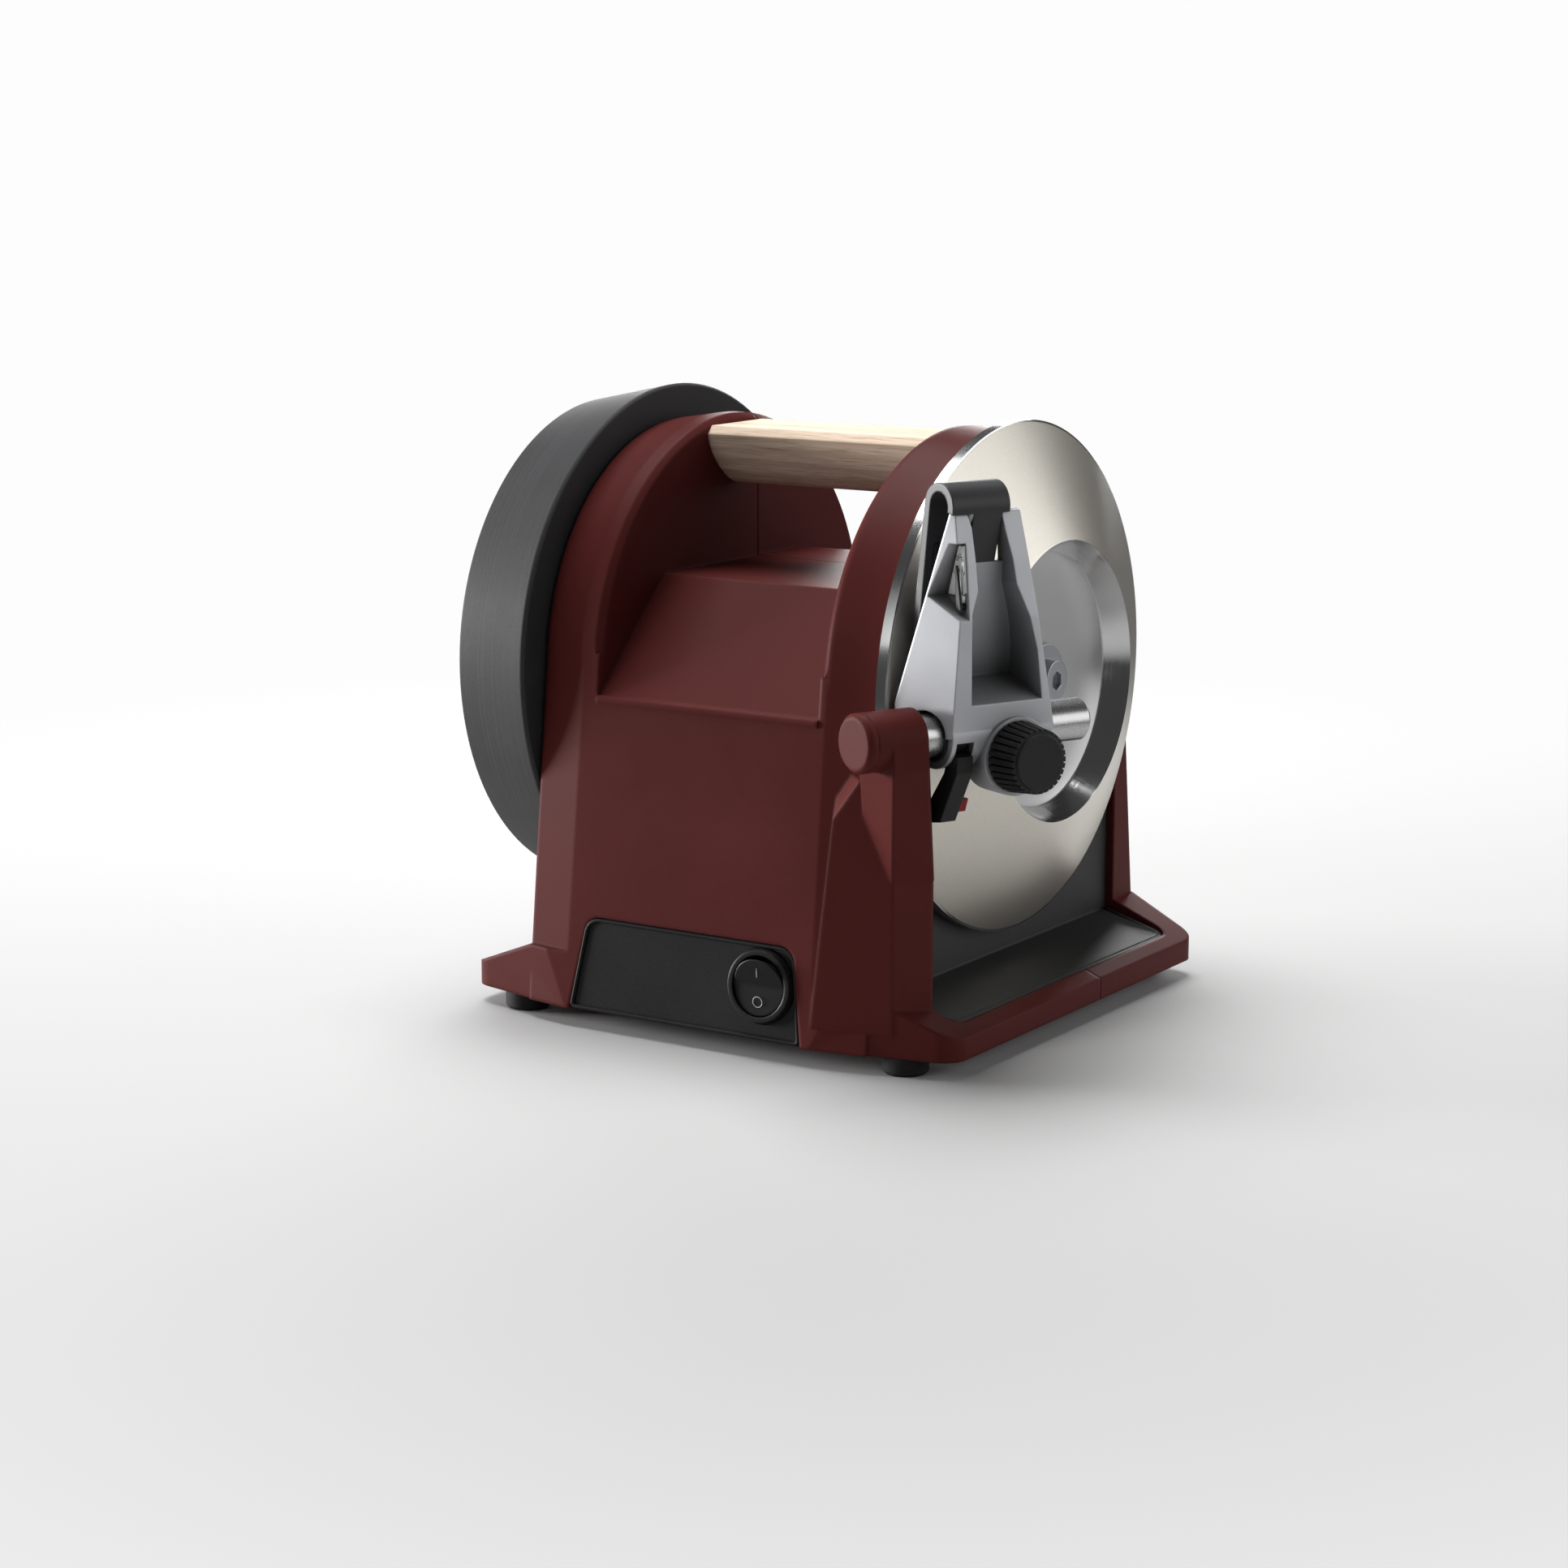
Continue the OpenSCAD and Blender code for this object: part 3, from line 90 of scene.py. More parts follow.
def newGroup(name, inputs, outputs):
    tree = bpy.data.node_groups.new(name, "ShaderNodeTree")
    for label, kind, value in inputs:
        socket = tree.interface.new_socket(name=label, in_out="INPUT", socket_type=kind)
        socket.default_value = value
    for label, kind in outputs:
        tree.interface.new_socket(name=label, in_out="OUTPUT", socket_type=kind)
    return tree, addNode(tree, "NodeGroupInput"), addNode(tree, "NodeGroupOutput")


def mathNode(tree, operation, *values):
    node = addNode(tree, "ShaderNodeMath", operation=operation)
    for place, value in enumerate(values):
        if isinstance(value, (int, float)):
            node.inputs[place].default_value = value
        else:
            tree.links.new(value, node.inputs[place])
    return node.outputs[0]


# Detail and roughness of each kind of noise
noiseKinds = {"fine": (3.0, 0.6), "cloud": (3.0, 0.55), "rings": (4.0, 0.7),
              "stretched": (4.0, 0.65), "pores": (5.0, 0.7)}


def noiseNode(tree, vector, scale, kind):
    node = addNode(tree, "ShaderNodeTexNoise")
    for label, value in zip(("Detail", "Roughness"), noiseKinds[kind]):
        node.inputs[label].default_value = value
    tree.links.new(vector, node.inputs["Vector"])
    if isinstance(scale, (int, float)):
        node.inputs["Scale"].default_value = scale
    else:
        tree.links.new(scale, node.inputs["Scale"])
    return node.outputs["Fac"]


def rangeNode(tree, value, low, high, start=0.0, end=1.0):
    node = addNode(tree, "ShaderNodeMapRange")
    tree.links.new(value, node.inputs["Value"])
    limits = {"From Min": low, "From Max": high, "To Min": start, "To Max": end}
    for label, number in limits.items():
        node.inputs[label].default_value = number
    return node.outputs["Result"]


# Shared effects, and the spans in which their masks rise from none to full
edgeLook = {"samples": 6, "turn": (0.995, 0.8), "open": (0.6, 0.9), "reach": 0.006,
            "openSamples": 4}
# Span of the painted shade in recesses
shadeLook = {"samples": 6, "span": (0.9, 0.35)}
noiseSpan = (0.3, 0.7)


# Rounded look of an edge, and a mask of where the edge is
def softEdgeGroup():
    tree, entry, leave = newGroup(
        "softEdge", [("Radius", "NodeSocketFloat", 0.001)],
        [("Normal", "NodeSocketVector"), ("Edge", "NodeSocketFloat")])
    bevel = addNode(tree, "ShaderNodeBevel", samples=edgeLook["samples"])
    tree.links.new(entry.outputs["Radius"], bevel.inputs["Radius"])
    geometry = addNode(tree, "ShaderNodeNewGeometry")
    dot = addNode(tree, "ShaderNodeVectorMath", operation="DOT_PRODUCT")
    tree.links.new(bevel.outputs["Normal"], dot.inputs[0])
    tree.links.new(geometry.outputs["Normal"], dot.inputs[1])
    # The second mask keeps inner corners plain
    hollow = addNode(tree, "ShaderNodeAmbientOcclusion", samples=edgeLook["openSamples"])
    hollow.inputs["Distance"].default_value = edgeLook["reach"]
    tree.links.new(bevel.outputs["Normal"], leave.inputs["Normal"])
    outer = mathNode(tree, "MULTIPLY", rangeNode(tree, dot.outputs["Value"], *edgeLook["turn"]),
                     rangeNode(tree, hollow.outputs["AO"], *edgeLook["open"]))
    tree.links.new(outer, leave.inputs["Edge"])
    return tree


# Fine moulded or sprayed texture with a slow change of tone
def grainGroup():
    tree, entry, leave = newGroup(
        "surfaceGrain",
        [("Scale", "NodeSocketFloat", 1500.0), ("Cloud", "NodeSocketFloat", 25.0)],
        [("Height", "NodeSocketFloat"), ("Tone", "NodeSocketFloat")])
    place = addNode(tree, "ShaderNodeTexCoord").outputs["Object"]
    fine = noiseNode(tree, place, entry.outputs["Scale"], "fine")
    cloud = noiseNode(tree, place, entry.outputs["Cloud"], "cloud")
    tree.links.new(fine, leave.inputs["Height"])
    tree.links.new(cloud, leave.inputs["Tone"])
    return tree


# Fine rings round the main shaft, as a lathe or a grinding pass leaves them
def turnedGroup():
    tree, entry, leave = newGroup(
        "turnedRings",
        [("Centre", "NodeSocketVector", (0.0, 0.0, 0.0)), ("Scale", "NodeSocketFloat", 900.0)],
        [("Rings", "NodeSocketFloat"), ("Radius", "NodeSocketFloat")])
    place = addNode(tree, "ShaderNodeTexCoord").outputs["Object"]
    shift = addNode(tree, "ShaderNodeVectorMath", operation="SUBTRACT")
    tree.links.new(place, shift.inputs[0])
    tree.links.new(entry.outputs["Centre"], shift.inputs[1])
    flat = addNode(tree, "ShaderNodeVectorMath", operation="MULTIPLY")
    flat.inputs[1].default_value = (0.0, 1.0, 1.0)
    tree.links.new(shift.outputs[0], flat.inputs[0])
    reach = addNode(tree, "ShaderNodeVectorMath", operation="LENGTH")
    tree.links.new(flat.outputs[0], reach.inputs[0])
    line = addNode(tree, "ShaderNodeCombineXYZ")
    tree.links.new(reach.outputs["Value"], line.inputs["X"])
    rings = noiseNode(tree, line.outputs[0], entry.outputs["Scale"], "rings")
    tree.links.new(rings, leave.inputs["Rings"])
    tree.links.new(reach.outputs["Value"], leave.inputs["Radius"])
    return tree


# Fine noise with a stretch of its own along each axis
def stretchedGroup():
    tree, entry, leave = newGroup(
        "stretchedNoise", [("Stretch", "NodeSocketVector", (1.0, 1.0, 1.0))],
        [("Noise", "NodeSocketFloat")])
    place = addNode(tree, "ShaderNodeTexCoord").outputs["Object"]
    stretch = addNode(tree, "ShaderNodeVectorMath", operation="MULTIPLY")
    tree.links.new(place, stretch.inputs[0])
    tree.links.new(entry.outputs["Stretch"], stretch.inputs[1])
    noise = noiseNode(tree, stretch.outputs[0], 1.0, "stretched")
    tree.links.new(noise, leave.inputs["Noise"])
    return tree


# How deep a place lies between the walls around it, as the mask for painted shade in recesses
def deepShadeGroup():
    tree, entry, leave = newGroup(
        "deepShade", [("Reach", "NodeSocketFloat", 0.03)], [("Depth", "NodeSocketFloat")])
    hollow = addNode(tree, "ShaderNodeAmbientOcclusion", samples=shadeLook["samples"])
    tree.links.new(entry.outputs["Reach"], hollow.inputs["Distance"])
    tree.links.new(rangeNode(tree, hollow.outputs["AO"], *shadeLook["span"]),
                   leave.inputs["Depth"])
    return tree


groups = {
    "softEdge": softEdgeGroup(),
    "deepShade": deepShadeGroup(),
    "surfaceGrain": grainGroup(),
    "turnedRings": turnedGroup(),
    "stretchedNoise": stretchedGroup(),
}
print("shared effects built")


def useGroup(tree, name, **values):
    node = addNode(tree, "ShaderNodeGroup", node_tree=groups[name])
    for key, value in values.items():
        node.inputs[key].default_value = value
    return node


def startMaterial(name, settings):
    material = bpy.data.materials.new(name)
    material.use_nodes = True
    tree = material.node_tree
    tree.nodes.clear()
    shader = addNode(tree, "ShaderNodeBsdfPrincipled")
    output = addNode(tree, "ShaderNodeOutputMaterial")
    tree.links.new(shader.outputs[0], output.inputs["Surface"])
    shader.inputs["Roughness"].default_value = settings["rough"]
    shader.inputs["Metallic"].default_value = settings.get("metal", 0.0)
    shader.inputs["Specular IOR Level"].default_value = settings.get("specular", 0.5)
    return material, tree, shader


def mixColour(tree, factor, first, second):
    node = addNode(tree, "ShaderNodeMix", data_type="RGBA")
    tree.links.new(factor, node.inputs["Factor"])
    colours = [s for s in node.inputs if s.type == "RGBA"]
    for socket, value in zip(colours, (first, second)):
        if isinstance(value, tuple):
            socket.default_value = value
        else:
            tree.links.new(value, socket)
    return [s for s in node.outputs if s.type == "RGBA"][0]


def bumpNormal(tree, shader, height, distance, strength, normal=None):
    bump = addNode(tree, "ShaderNodeBump")
    bump.inputs["Strength"].default_value = strength
    bump.inputs["Distance"].default_value = distance
    tree.links.new(height, bump.inputs["Height"])
    if normal is not None:
        tree.links.new(normal, bump.inputs["Normal"])
    tree.links.new(bump.outputs["Normal"], shader.inputs["Normal"])


# Paint, plastic, rubber or cast metal with fine grain, soft edges and lighter worn edges, and
# where asked a painted shade that darkens the colour in recesses
grainLook = {"fleckSpan": (0.35, 0.75), "streakSpan": (0.5, 0.75), "smoother": 0.04,
             "rougher": 0.05}


def grainedMaterial(name, settings):
    material, tree, shader = startMaterial(name, settings)
    edge = useGroup(tree, "softEdge", Radius=settings["edge"])
    grain = useGroup(tree, "surfaceGrain", Scale=settings["grain"], Cloud=settings["cloud"])
    toned = mixColour(tree, rangeNode(tree, grain.outputs["Tone"], *noiseSpan),
                      settings["dark"], settings["light"])
    fine = rangeNode(tree, grain.outputs["Height"], *grainLook["fleckSpan"], 0.0,
                     settings["fleck"])
    flecked = mixColour(tree, fine, toned, settings["worn"])
    if "streaks" in settings:
        lines = useGroup(tree, "stretchedNoise", Stretch=settings["streaks"])
        streak = rangeNode(tree, lines.outputs["Noise"], *grainLook["streakSpan"], 0.0,
                           settings["streakShare"])
        flecked = mixColour(tree, streak, flecked, settings["worn"])
    # Painted shade: the base colour darkens toward a set grey in recesses, creases and between
    # walls
    if "deep" in settings:
        shade = useGroup(tree, "deepShade", Reach=settings["deepReach"])
        flecked = mixColour(tree, shade.outputs["Depth"], flecked, settings["deep"])
    wearAmount = mathNode(tree, "MULTIPLY", edge.outputs["Edge"], settings["wear"])
    tree.links.new(mixColour(tree, wearAmount, flecked, settings["worn"]),
                   shader.inputs["Base Color"])
    tree.links.new(rangeNode(tree, grain.outputs["Tone"], *noiseSpan,
                             settings["rough"] - grainLook["smoother"],
                             settings["rough"] + grainLook["rougher"]),
                   shader.inputs["Roughness"])
    bumpNormal(tree, shader, grain.outputs["Height"], settings["depth"], settings["bump"],
               edge.outputs["Normal"])
    return material


# Metal finished on a lathe, with rings round the main shaft: a gritty face, and a bright rim
# and recess wall
def turnedMaterial(name, settings):
    material, tree, shader = startMaterial(name, settings)
    rings = useGroup(tree, "turnedRings", Centre=settings["centre"], Scale=settings["rings"])
    grain = useGroup(tree, "surfaceGrain", Scale=settings["grain"])
    toned = mixColour(tree, rangeNode(tree, rings.outputs["Rings"], *noiseSpan),
                      settings["dark"], settings["light"])
    fleck = rangeNode(tree, grain.outputs["Height"], *settings["gritSpan"], 0.0,
                      settings["fleck"])
    flecked = mixColour(tree, fleck, toned, settings["worn"])
    reach = rings.outputs["Radius"]
    inside = rangeNode(tree, reach, *settings["mouth"], 1.0, 0.0)
    floorPart = rangeNode(tree, reach, *settings["floorEdge"], 1.0, 0.0)
    rim = rangeNode(tree, reach, *settings["rim"])
    bright = mathNode(tree, "MAXIMUM", mathNode(tree, "SUBTRACT", inside, floorPart), rim)
    tree.links.new(mixColour(tree, mathNode(tree, "MAXIMUM", inside, rim), flecked,
                             settings["plain"]), shader.inputs["Base Color"])
    rough = mathNode(tree, "MULTIPLY_ADD", rings.outputs["Rings"], settings["ringRough"],
                     settings["rough"])
    polish = mathNode(tree, "MULTIPLY", bright, settings["polish"])
    tree.links.new(mathNode(tree, "SUBTRACT", rough, polish), shader.inputs["Roughness"])
    gritty = mathNode(tree, "MULTIPLY", mathNode(tree, "SUBTRACT", 1.0, bright),
                      settings["gritShare"])
    height = mathNode(tree, "ADD", mathNode(tree, "MULTIPLY", grain.outputs["Height"], gritty),
                      rings.outputs["Rings"])
    bumpNormal(tree, shader, height, settings["depth"], settings["bump"])
    return material


# Bright metal with a fine even finish
def satinMaterial(name, settings):
    material, tree, shader = startMaterial(name, settings)
    edge = useGroup(tree, "softEdge", Radius=settings["edge"])
    noise = useGroup(tree, "stretchedNoise", Stretch=settings["stretch"]).outputs["Noise"]
    tree.links.new(mixColour(tree, rangeNode(tree, noise, *noiseSpan), settings["dark"],
                             settings["light"]), shader.inputs["Base Color"])
    tree.links.new(rangeNode(tree, noise, *noiseSpan, settings["rough"] - settings["smoother"],
                             settings["rough"] + settings["rougher"]),
                   shader.inputs["Roughness"])
    bumpNormal(tree, shader, noise, settings["depth"], settings["bump"],
               edge.outputs["Normal"])
    return material


# Oiled oak: growth rings drawn along the handle, and fine pores
def oakMaterial(name, settings):
    material, tree, shader = startMaterial(name, settings)
    edge = useGroup(tree, "softEdge", Radius=settings["edge"])
    place = addNode(tree, "ShaderNodeTexCoord").outputs["Object"]
    mapping = addNode(tree, "ShaderNodeMapping")
    mapping.inputs["Location"].default_value = settings["location"]
    mapping.inputs["Rotation"].default_value = settings["rotation"]
    mapping.inputs["Scale"].default_value = settings["stretch"]
    tree.links.new(place, mapping.inputs["Vector"])
    wave = addNode(tree, "ShaderNodeTexWave", wave_type="RINGS", rings_direction="X")
    wave.inputs["Scale"].default_value = settings["rings"]
    wave.inputs["Distortion"].default_value = settings["distortion"]
    wave.inputs["Detail"].default_value = settings["ringDetail"]
    wave.inputs["Detail Scale"].default_value = settings["ringDetailScale"]
    tree.links.new(mapping.outputs[0], wave.inputs["Vector"])
    pores = addNode(tree, "ShaderNodeMapping")
    pores.inputs["Scale"].default_value = settings["poreStretch"]
    tree.links.new(place, pores.inputs["Vector"])
    pore = noiseNode(tree, pores.outputs[0], 1.0, "pores")
    ringed = mixColour(tree, rangeNode(tree, wave.outputs["Fac"], *settings["ringSpan"]),
                       settings["light"], settings["dark"])
    poreShare = rangeNode(tree, pore, *settings["poreSpan"], 0.0, settings["poreShare"])
    tree.links.new(mixColour(tree, poreShare, ringed, settings["pore"]),
                   shader.inputs["Base Color"])
    tree.links.new(rangeNode(tree, pore, *settings["roughSpan"], settings["rough"],
                             settings["rough"] + settings["rougher"]),
                   shader.inputs["Roughness"])
    bumpNormal(tree, shader, pore, settings["depth"], settings["bump"], edge.outputs["Normal"])
    return material


# Middle of the disc on the main shaft, in the frame of the part
shaftCentre = (-0.0066334, 0.0073091, 0.119)

# Finish of each material: colours as the eye sees them, lengths in metres
paintSettings = {
    "dark": srgb(74, 30, 28), "light": srgb(80, 33, 31), "worn": srgb(102, 53, 50),
    "rough": 0.46, "edge": 0.0018, "grain": 2600.0, "cloud": 22.0, "fleck": 0.12,
    "wear": 0.3, "depth": 0.00006, "bump": 0.45, "specular": 0.05,
}
coverSettings = {
    "dark": srgb(37, 37, 37), "light": srgb(42, 42, 42), "worn": srgb(74, 74, 74),
    "rough": 0.5, "edge": 0.0012, "grain": 2200.0, "cloud": 18.0, "fleck": 0.12,
    "wear": 0.3, "depth": 0.00008, "bump": 0.45, "specular": 0.22,
}
panelSettings = {**coverSettings, "dark": srgb(20, 20, 21), "light": srgb(24, 24, 25),
                 "rough": 0.45, "bump": 0.25, "specular": 0.12}
glossSettings = {**coverSettings, "dark": srgb(14, 14, 14), "light": srgb(17, 17, 17),
                 "rough": 0.42, "bump": 0.12, "edge": 0.0009, "fleck": 0.05, "specular": 0.16}
blackSettings = {**coverSettings, "dark": srgb(24, 24, 24), "light": srgb(29, 29, 29),
                 "rough": 0.45, "bump": 0.3, "edge": 0.0007}
jawSettings = {**coverSettings, "dark": srgb(54, 54, 56), "light": srgb(61, 61, 63),
               "rough": 0.4, "bump": 0.25, "edge": 0.0008}
lightSettings = {**coverSettings, "dark": srgb(222, 222, 220), "light": srgb(228, 228, 226),
                 "worn": srgb(240, 240, 240), "rough": 0.4, "bump": 0.15, "edge": 0.0005}
tabSettings = {**coverSettings, "dark": srgb(124, 20, 26), "light": srgb(134, 24, 30),
               "worn": srgb(170, 54, 54), "rough": 0.4, "edge": 0.0006}
rubberSettings = {**coverSettings, "dark": srgb(22, 22, 22), "light": srgb(28, 28, 28),
                  "rough": 0.75, "grain": 1700.0, "bump": 0.7}
honingSettings = {
    "dark": srgb(46, 46, 47), "light": srgb(53, 53, 54), "worn": srgb(90, 90, 93),
    "rough": 0.62, "edge": 0.0016, "grain": 2600.0, "cloud": 30.0, "fleck": 0.16,
    "wear": 0.55, "depth": 0.0001, "bump": 0.5, "specular": 0.12,
    "streaks": (2400.0, 7.0, 7.0), "streakShare": 0.24,
}
castingSettings = {
    "dark": srgb(178, 179, 183), "light": srgb(189, 190, 194), "worn": srgb(210, 211, 214),
    "rough": 0.44, "edge": 0.0008, "grain": 4600.0, "cloud": 30.0, "fleck": 0.3,
    "wear": 0.2, "depth": 0.00007, "bump": 0.4, "metal": 0.3, "specular": 0.3,
    # Grey painted into recesses and between walls as shade; the shield, iron and drive castings
    # take it too
    "deep": srgb(116, 117, 119), "deepReach": 0.028,
}
shieldSettings = {**castingSettings, "metal": 0.9, "rough": 0.4}
ironSettings = {**castingSettings, "dark": srgb(92, 80, 66), "light": srgb(104, 90, 74),
                "worn": srgb(140, 120, 96), "metal": 0.5, "rough": 0.5}
driveSettings = {**castingSettings, "dark": srgb(52, 52, 54), "light": srgb(60, 60, 62)}
# mouth, floorEdge and rim are the pairs of radii between which the finish changes
discSettings = {
    "dark": srgb(198, 193, 183), "light": srgb(209, 205, 196), "worn": srgb(232, 229, 223),
    "plain": srgb(196, 196, 196), "mouth": (0.0479, 0.0482), "floorEdge": (0.0436, 0.0438),
    "rim": (0.0866, 0.0870), "polish": 0.2, "metal": 1.0, "rough": 0.27, "ringRough": 0.14,
    "rings": 2600.0, "grain": 3000.0, "gritSpan": (0.58, 0.72), "fleck": 0.6, "gritShare": 1.4,
    "depth": 0.00006, "bump": 0.45, "centre": shaftCentre,
}
barSettings = {
    "dark": srgb(170, 170, 171), "light": srgb(188, 188, 189), "metal": 1.0, "rough": 0.27,
    "smoother": 0.05, "rougher": 0.08, "stretch": (3200.0, 3200.0, 3200.0),
    "depth": 0.00001, "bump": 0.08, "edge": 0.0006,
}
zincSettings = {**barSettings, "dark": srgb(168, 170, 174), "light": srgb(186, 188, 192),
                "rough": 0.34}
oakSettings = {
    "light": srgb(222, 202, 182), "dark": srgb(208, 185, 163), "pore": srgb(158, 131, 109),
    "rough": 0.66, "edge": 0.0014, "location": (0.0, 0.03, -0.15),
    "rotation": (0.0, 0.02, 0.03), "stretch": (6.0, 60.0, 95.0), "rings": 0.7,
    "ringDetail": 3.0, "ringDetailScale": 1.6, "ringSpan": (0.15, 0.95), "distortion": 7.0,
    "poreStretch": (70.0, 1500.0, 1500.0), "poreSpan": (0.5, 0.72), "poreShare": 0.85,
    "roughSpan": (0.4, 0.8), "rougher": 0.2, "depth": 0.0001, "bump": 0.35, "specular": 0.03,
}

materials = {
    "paint": grainedMaterial("redPaint", paintSettings),
    "cover_plastic": grainedMaterial("coverPlastic", coverSettings),
    "panel_plastic": grainedMaterial("panelPlastic", panelSettings),
    "black_gloss": grainedMaterial("blackGloss", glossSettings),
    "black_plastic": grainedMaterial("blackPlastic", blackSettings),
    "jaw_plastic": grainedMaterial("jawPlastic", jawSettings),
    "light_plastic": grainedMaterial("lightPlastic", lightSettings),
    "red_plastic": grainedMaterial("redPlastic", tabSettings),
    "rubber": grainedMaterial("footRubber", rubberSettings),
    "honing_compound": grainedMaterial("honingCompound", honingSettings),
    "grey_casting": grainedMaterial("greyCasting", castingSettings),
    "shield_aluminium": grainedMaterial("castAluminium", shieldSettings),
    "stator_iron": grainedMaterial("statorIron", ironSettings),
    "drive_casting": grainedMaterial("driveCasting", driveSettings),
    "diamond_face": turnedMaterial("diamondFace", discSettings),
    "polished_steel": satinMaterial("polishedSteel", barSettings),
    "zinc_steel": satinMaterial("zincSteel", zincSettings),
    "oak": oakMaterial("oiledOak", oakSettings),
}
for entry in frame["record"]["subparts"]:
    for holder in nodes[entry["node"]].material_slots:
        holder.material = materials[entry["material_slot"]]
print("materials placed on", len(nodes), "nodes")


# Frames of the object's own faces: the leaning front face, the guide bar, and the rear face,
# which mirrors the front one
frontFace = {"forward": 0.0971, "up": 0.0063, "lean": 6.1348}
bar = {"origin": (0.0808341, -0.0765238, 0.1132), "turn": -24.5}
faceFrame = (Matrix.Translation((shaftCentre[0], shaftCentre[1] - frontFace["forward"],
                                 frontFace["up"]))
             @ Matrix.Rotation(-radians(frontFace["lean"]), 4, "X"))
barFrame = Matrix.Translation(bar["origin"]) @ Matrix.Rotation(radians(bar["turn"]), 4, "Z")
shaftFoot = Matrix.Translation((shaftCentre[0], shaftCentre[1], 0.0))
backFrame = shaftFoot @ Matrix.Diagonal((1.0, -1.0, 1.0, 1.0)) @ shaftFoot.inverted() @ faceFrame


# Turns a bmesh into a finished piece that rides on a body
def finishPiece(name, shape, place, body, slot, smooth=False):
    shape.transform(place)
    bmesh.ops.recalc_face_normals(shape, faces=shape.faces)
    mesh = bpy.data.meshes.new(name)
    shape.to_mesh(mesh)
    shape.free()
    piece = bpy.data.objects.new(name, mesh)
    bpy.context.scene.collection.objects.link(piece)
    mesh.materials.append(materials[slot])
    if smooth:
        mesh.shade_smooth()
    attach(piece, body)


# Points closer together than this become one
weldReach = 0.000002


# The mesh of a curve or text as a bmesh, with the object that held it removed
def meshFrom(outline, name):
    holder = bpy.data.objects.new(name, outline)
    bpy.context.scene.collection.objects.link(holder)
    bpy.context.view_layer.update()
    ready = holder.evaluated_get(bpy.context.evaluated_depsgraph_get())
    mesh = bpy.data.meshes.new_from_object(ready)
    shape = bmesh.new()
    shape.from_mesh(mesh)
    bmesh.ops.remove_doubles(shape, verts=shape.verts, dist=weldReach)
    bpy.data.objects.remove(holder)
    bpy.data.meshes.remove(mesh)
    return shape


# Round bead that follows a line of points
def beadShape(points, radius, closed=True):
    curve = bpy.data.curves.new("bead", "CURVE")
    curve.dimensions = "3D"
    curve.bevel_depth = radius
    curve.bevel_resolution = 3
    curve.use_fill_caps = not closed
    line = curve.splines.new("POLY")
    line.points.add(len(points) - 1)
    for spot, place in zip(line.points, points):
        spot.co = (*place, 1.0)
    line.use_cyclic_u = closed
    return meshFrom(curve, "bead")


def textShape(words, size, thickness):
    font = bpy.data.curves.new("figures", "FONT")
    font.body = words
    font.size = size
    font.extrude = thickness / 2
    font.align_x = "CENTER"
    font.align_y = "CENTER"
    return meshFrom(font, "figures")


def blockShape(size, bevel, segments=3):
    shape = bmesh.new()
    bmesh.ops.create_cube(shape, size=1.0)
    bmesh.ops.scale(shape, vec=size, verts=shape.verts)
    bmesh.ops.bevel(shape, geom=shape.edges[:], offset=bevel, segments=segments,
                    affect="EDGES", profile=0.5, material=-1)
    return shape


# Points of a ring in a frame whose depth runs along Y
def ringPoints(across, up, depth, radius, steps):
    turns = [2 * pi * step / steps for step in range(steps)]
    return [(across + radius * cos(turn), depth, up + radius * sin(turn)) for turn in turns]


# Points of a closed outline whose corners are rounded off
def roundedLoop(corners, radii, steps=8):
    points = []
    count = len(corners)
    for place in range(count):
        here = Vector(corners[place])
        before = (Vector(corners[place - 1]) - here).normalized()
        after = (Vector(corners[(place + 1) % count]) - here).normalized()
        radius = radii[place]
        if radius <= 0:
            points.append(here)
            continue
        half = before.angle(after) / 2
        reach = radius * cos(half) / sin(half)
        middle = here + (before + after).normalized() * (radius / sin(half))
        first = here + before * reach - middle
        last = here + after * reach - middle
        turn = first.angle(last)
        for step in range(steps + 1):
            share = step / steps
            points.append(middle + (first * sin((1 - share) * turn) + last * sin(share * turn))
                          / sin(turn))
    return points


# Raised rim of the switch panel
panelRim = {"halfBead": 0.0007, "sink": 0.0006, "lowLeft": -0.0482, "lowRight": 0.0443,
            "topLeft": -0.0429, "topRight": 0.0404, "low": 0.0012, "high": 0.0319,
            "corner": 0.0055, "lowCorner": 0.001}


def makePanelRim(settings):
    corners = [(settings["lowLeft"], settings["low"]), (settings["lowRight"], settings["low"]),
               (settings["topRight"], settings["high"]), (settings["topLeft"], settings["high"])]
    loop = roundedLoop(corners, [settings["lowCorner"]] * 2 + [settings["corner"]] * 2)
    points = [(spot[0], settings["sink"], spot[1]) for spot in loop]
    finishPiece("panel_rim", beadShape(points, settings["halfBead"]), faceFrame,
                "housing", "panel_plastic", smooth=True)


makePanelRim(panelRim)

# Marks of the rocker: a bar above and a ring below
rockerMarks = {"seat": (0.0286, 0.0, 0.018506), "tilt": 9.0, "up": 0.0050, "depth": -0.0020,
               "bar": 0.0030, "ring": 0.0018, "steps": 32, "line": 0.00012}


def makeRockerMarks(settings):
    tilted = (faceFrame @ Matrix.Translation(settings["seat"])
              @ Matrix.Rotation(radians(settings["tilt"]), 4, "X"))
    stroke = [(0.0, settings["depth"], settings["up"] + side * settings["bar"] / 2)
              for side in (-1, 1)]
    ring = ringPoints(0.0, -settings["up"], settings["depth"], settings["ring"],
                      settings["steps"])
    finishPiece("mark_on", beadShape(stroke, settings["line"], False), tilted, "rocker",
                "light_plastic")
    finishPiece("mark_off", beadShape(ring, settings["line"]), tilted, "rocker",
                "light_plastic", smooth=True)


makeRockerMarks(rockerMarks)
print("switch dressed")

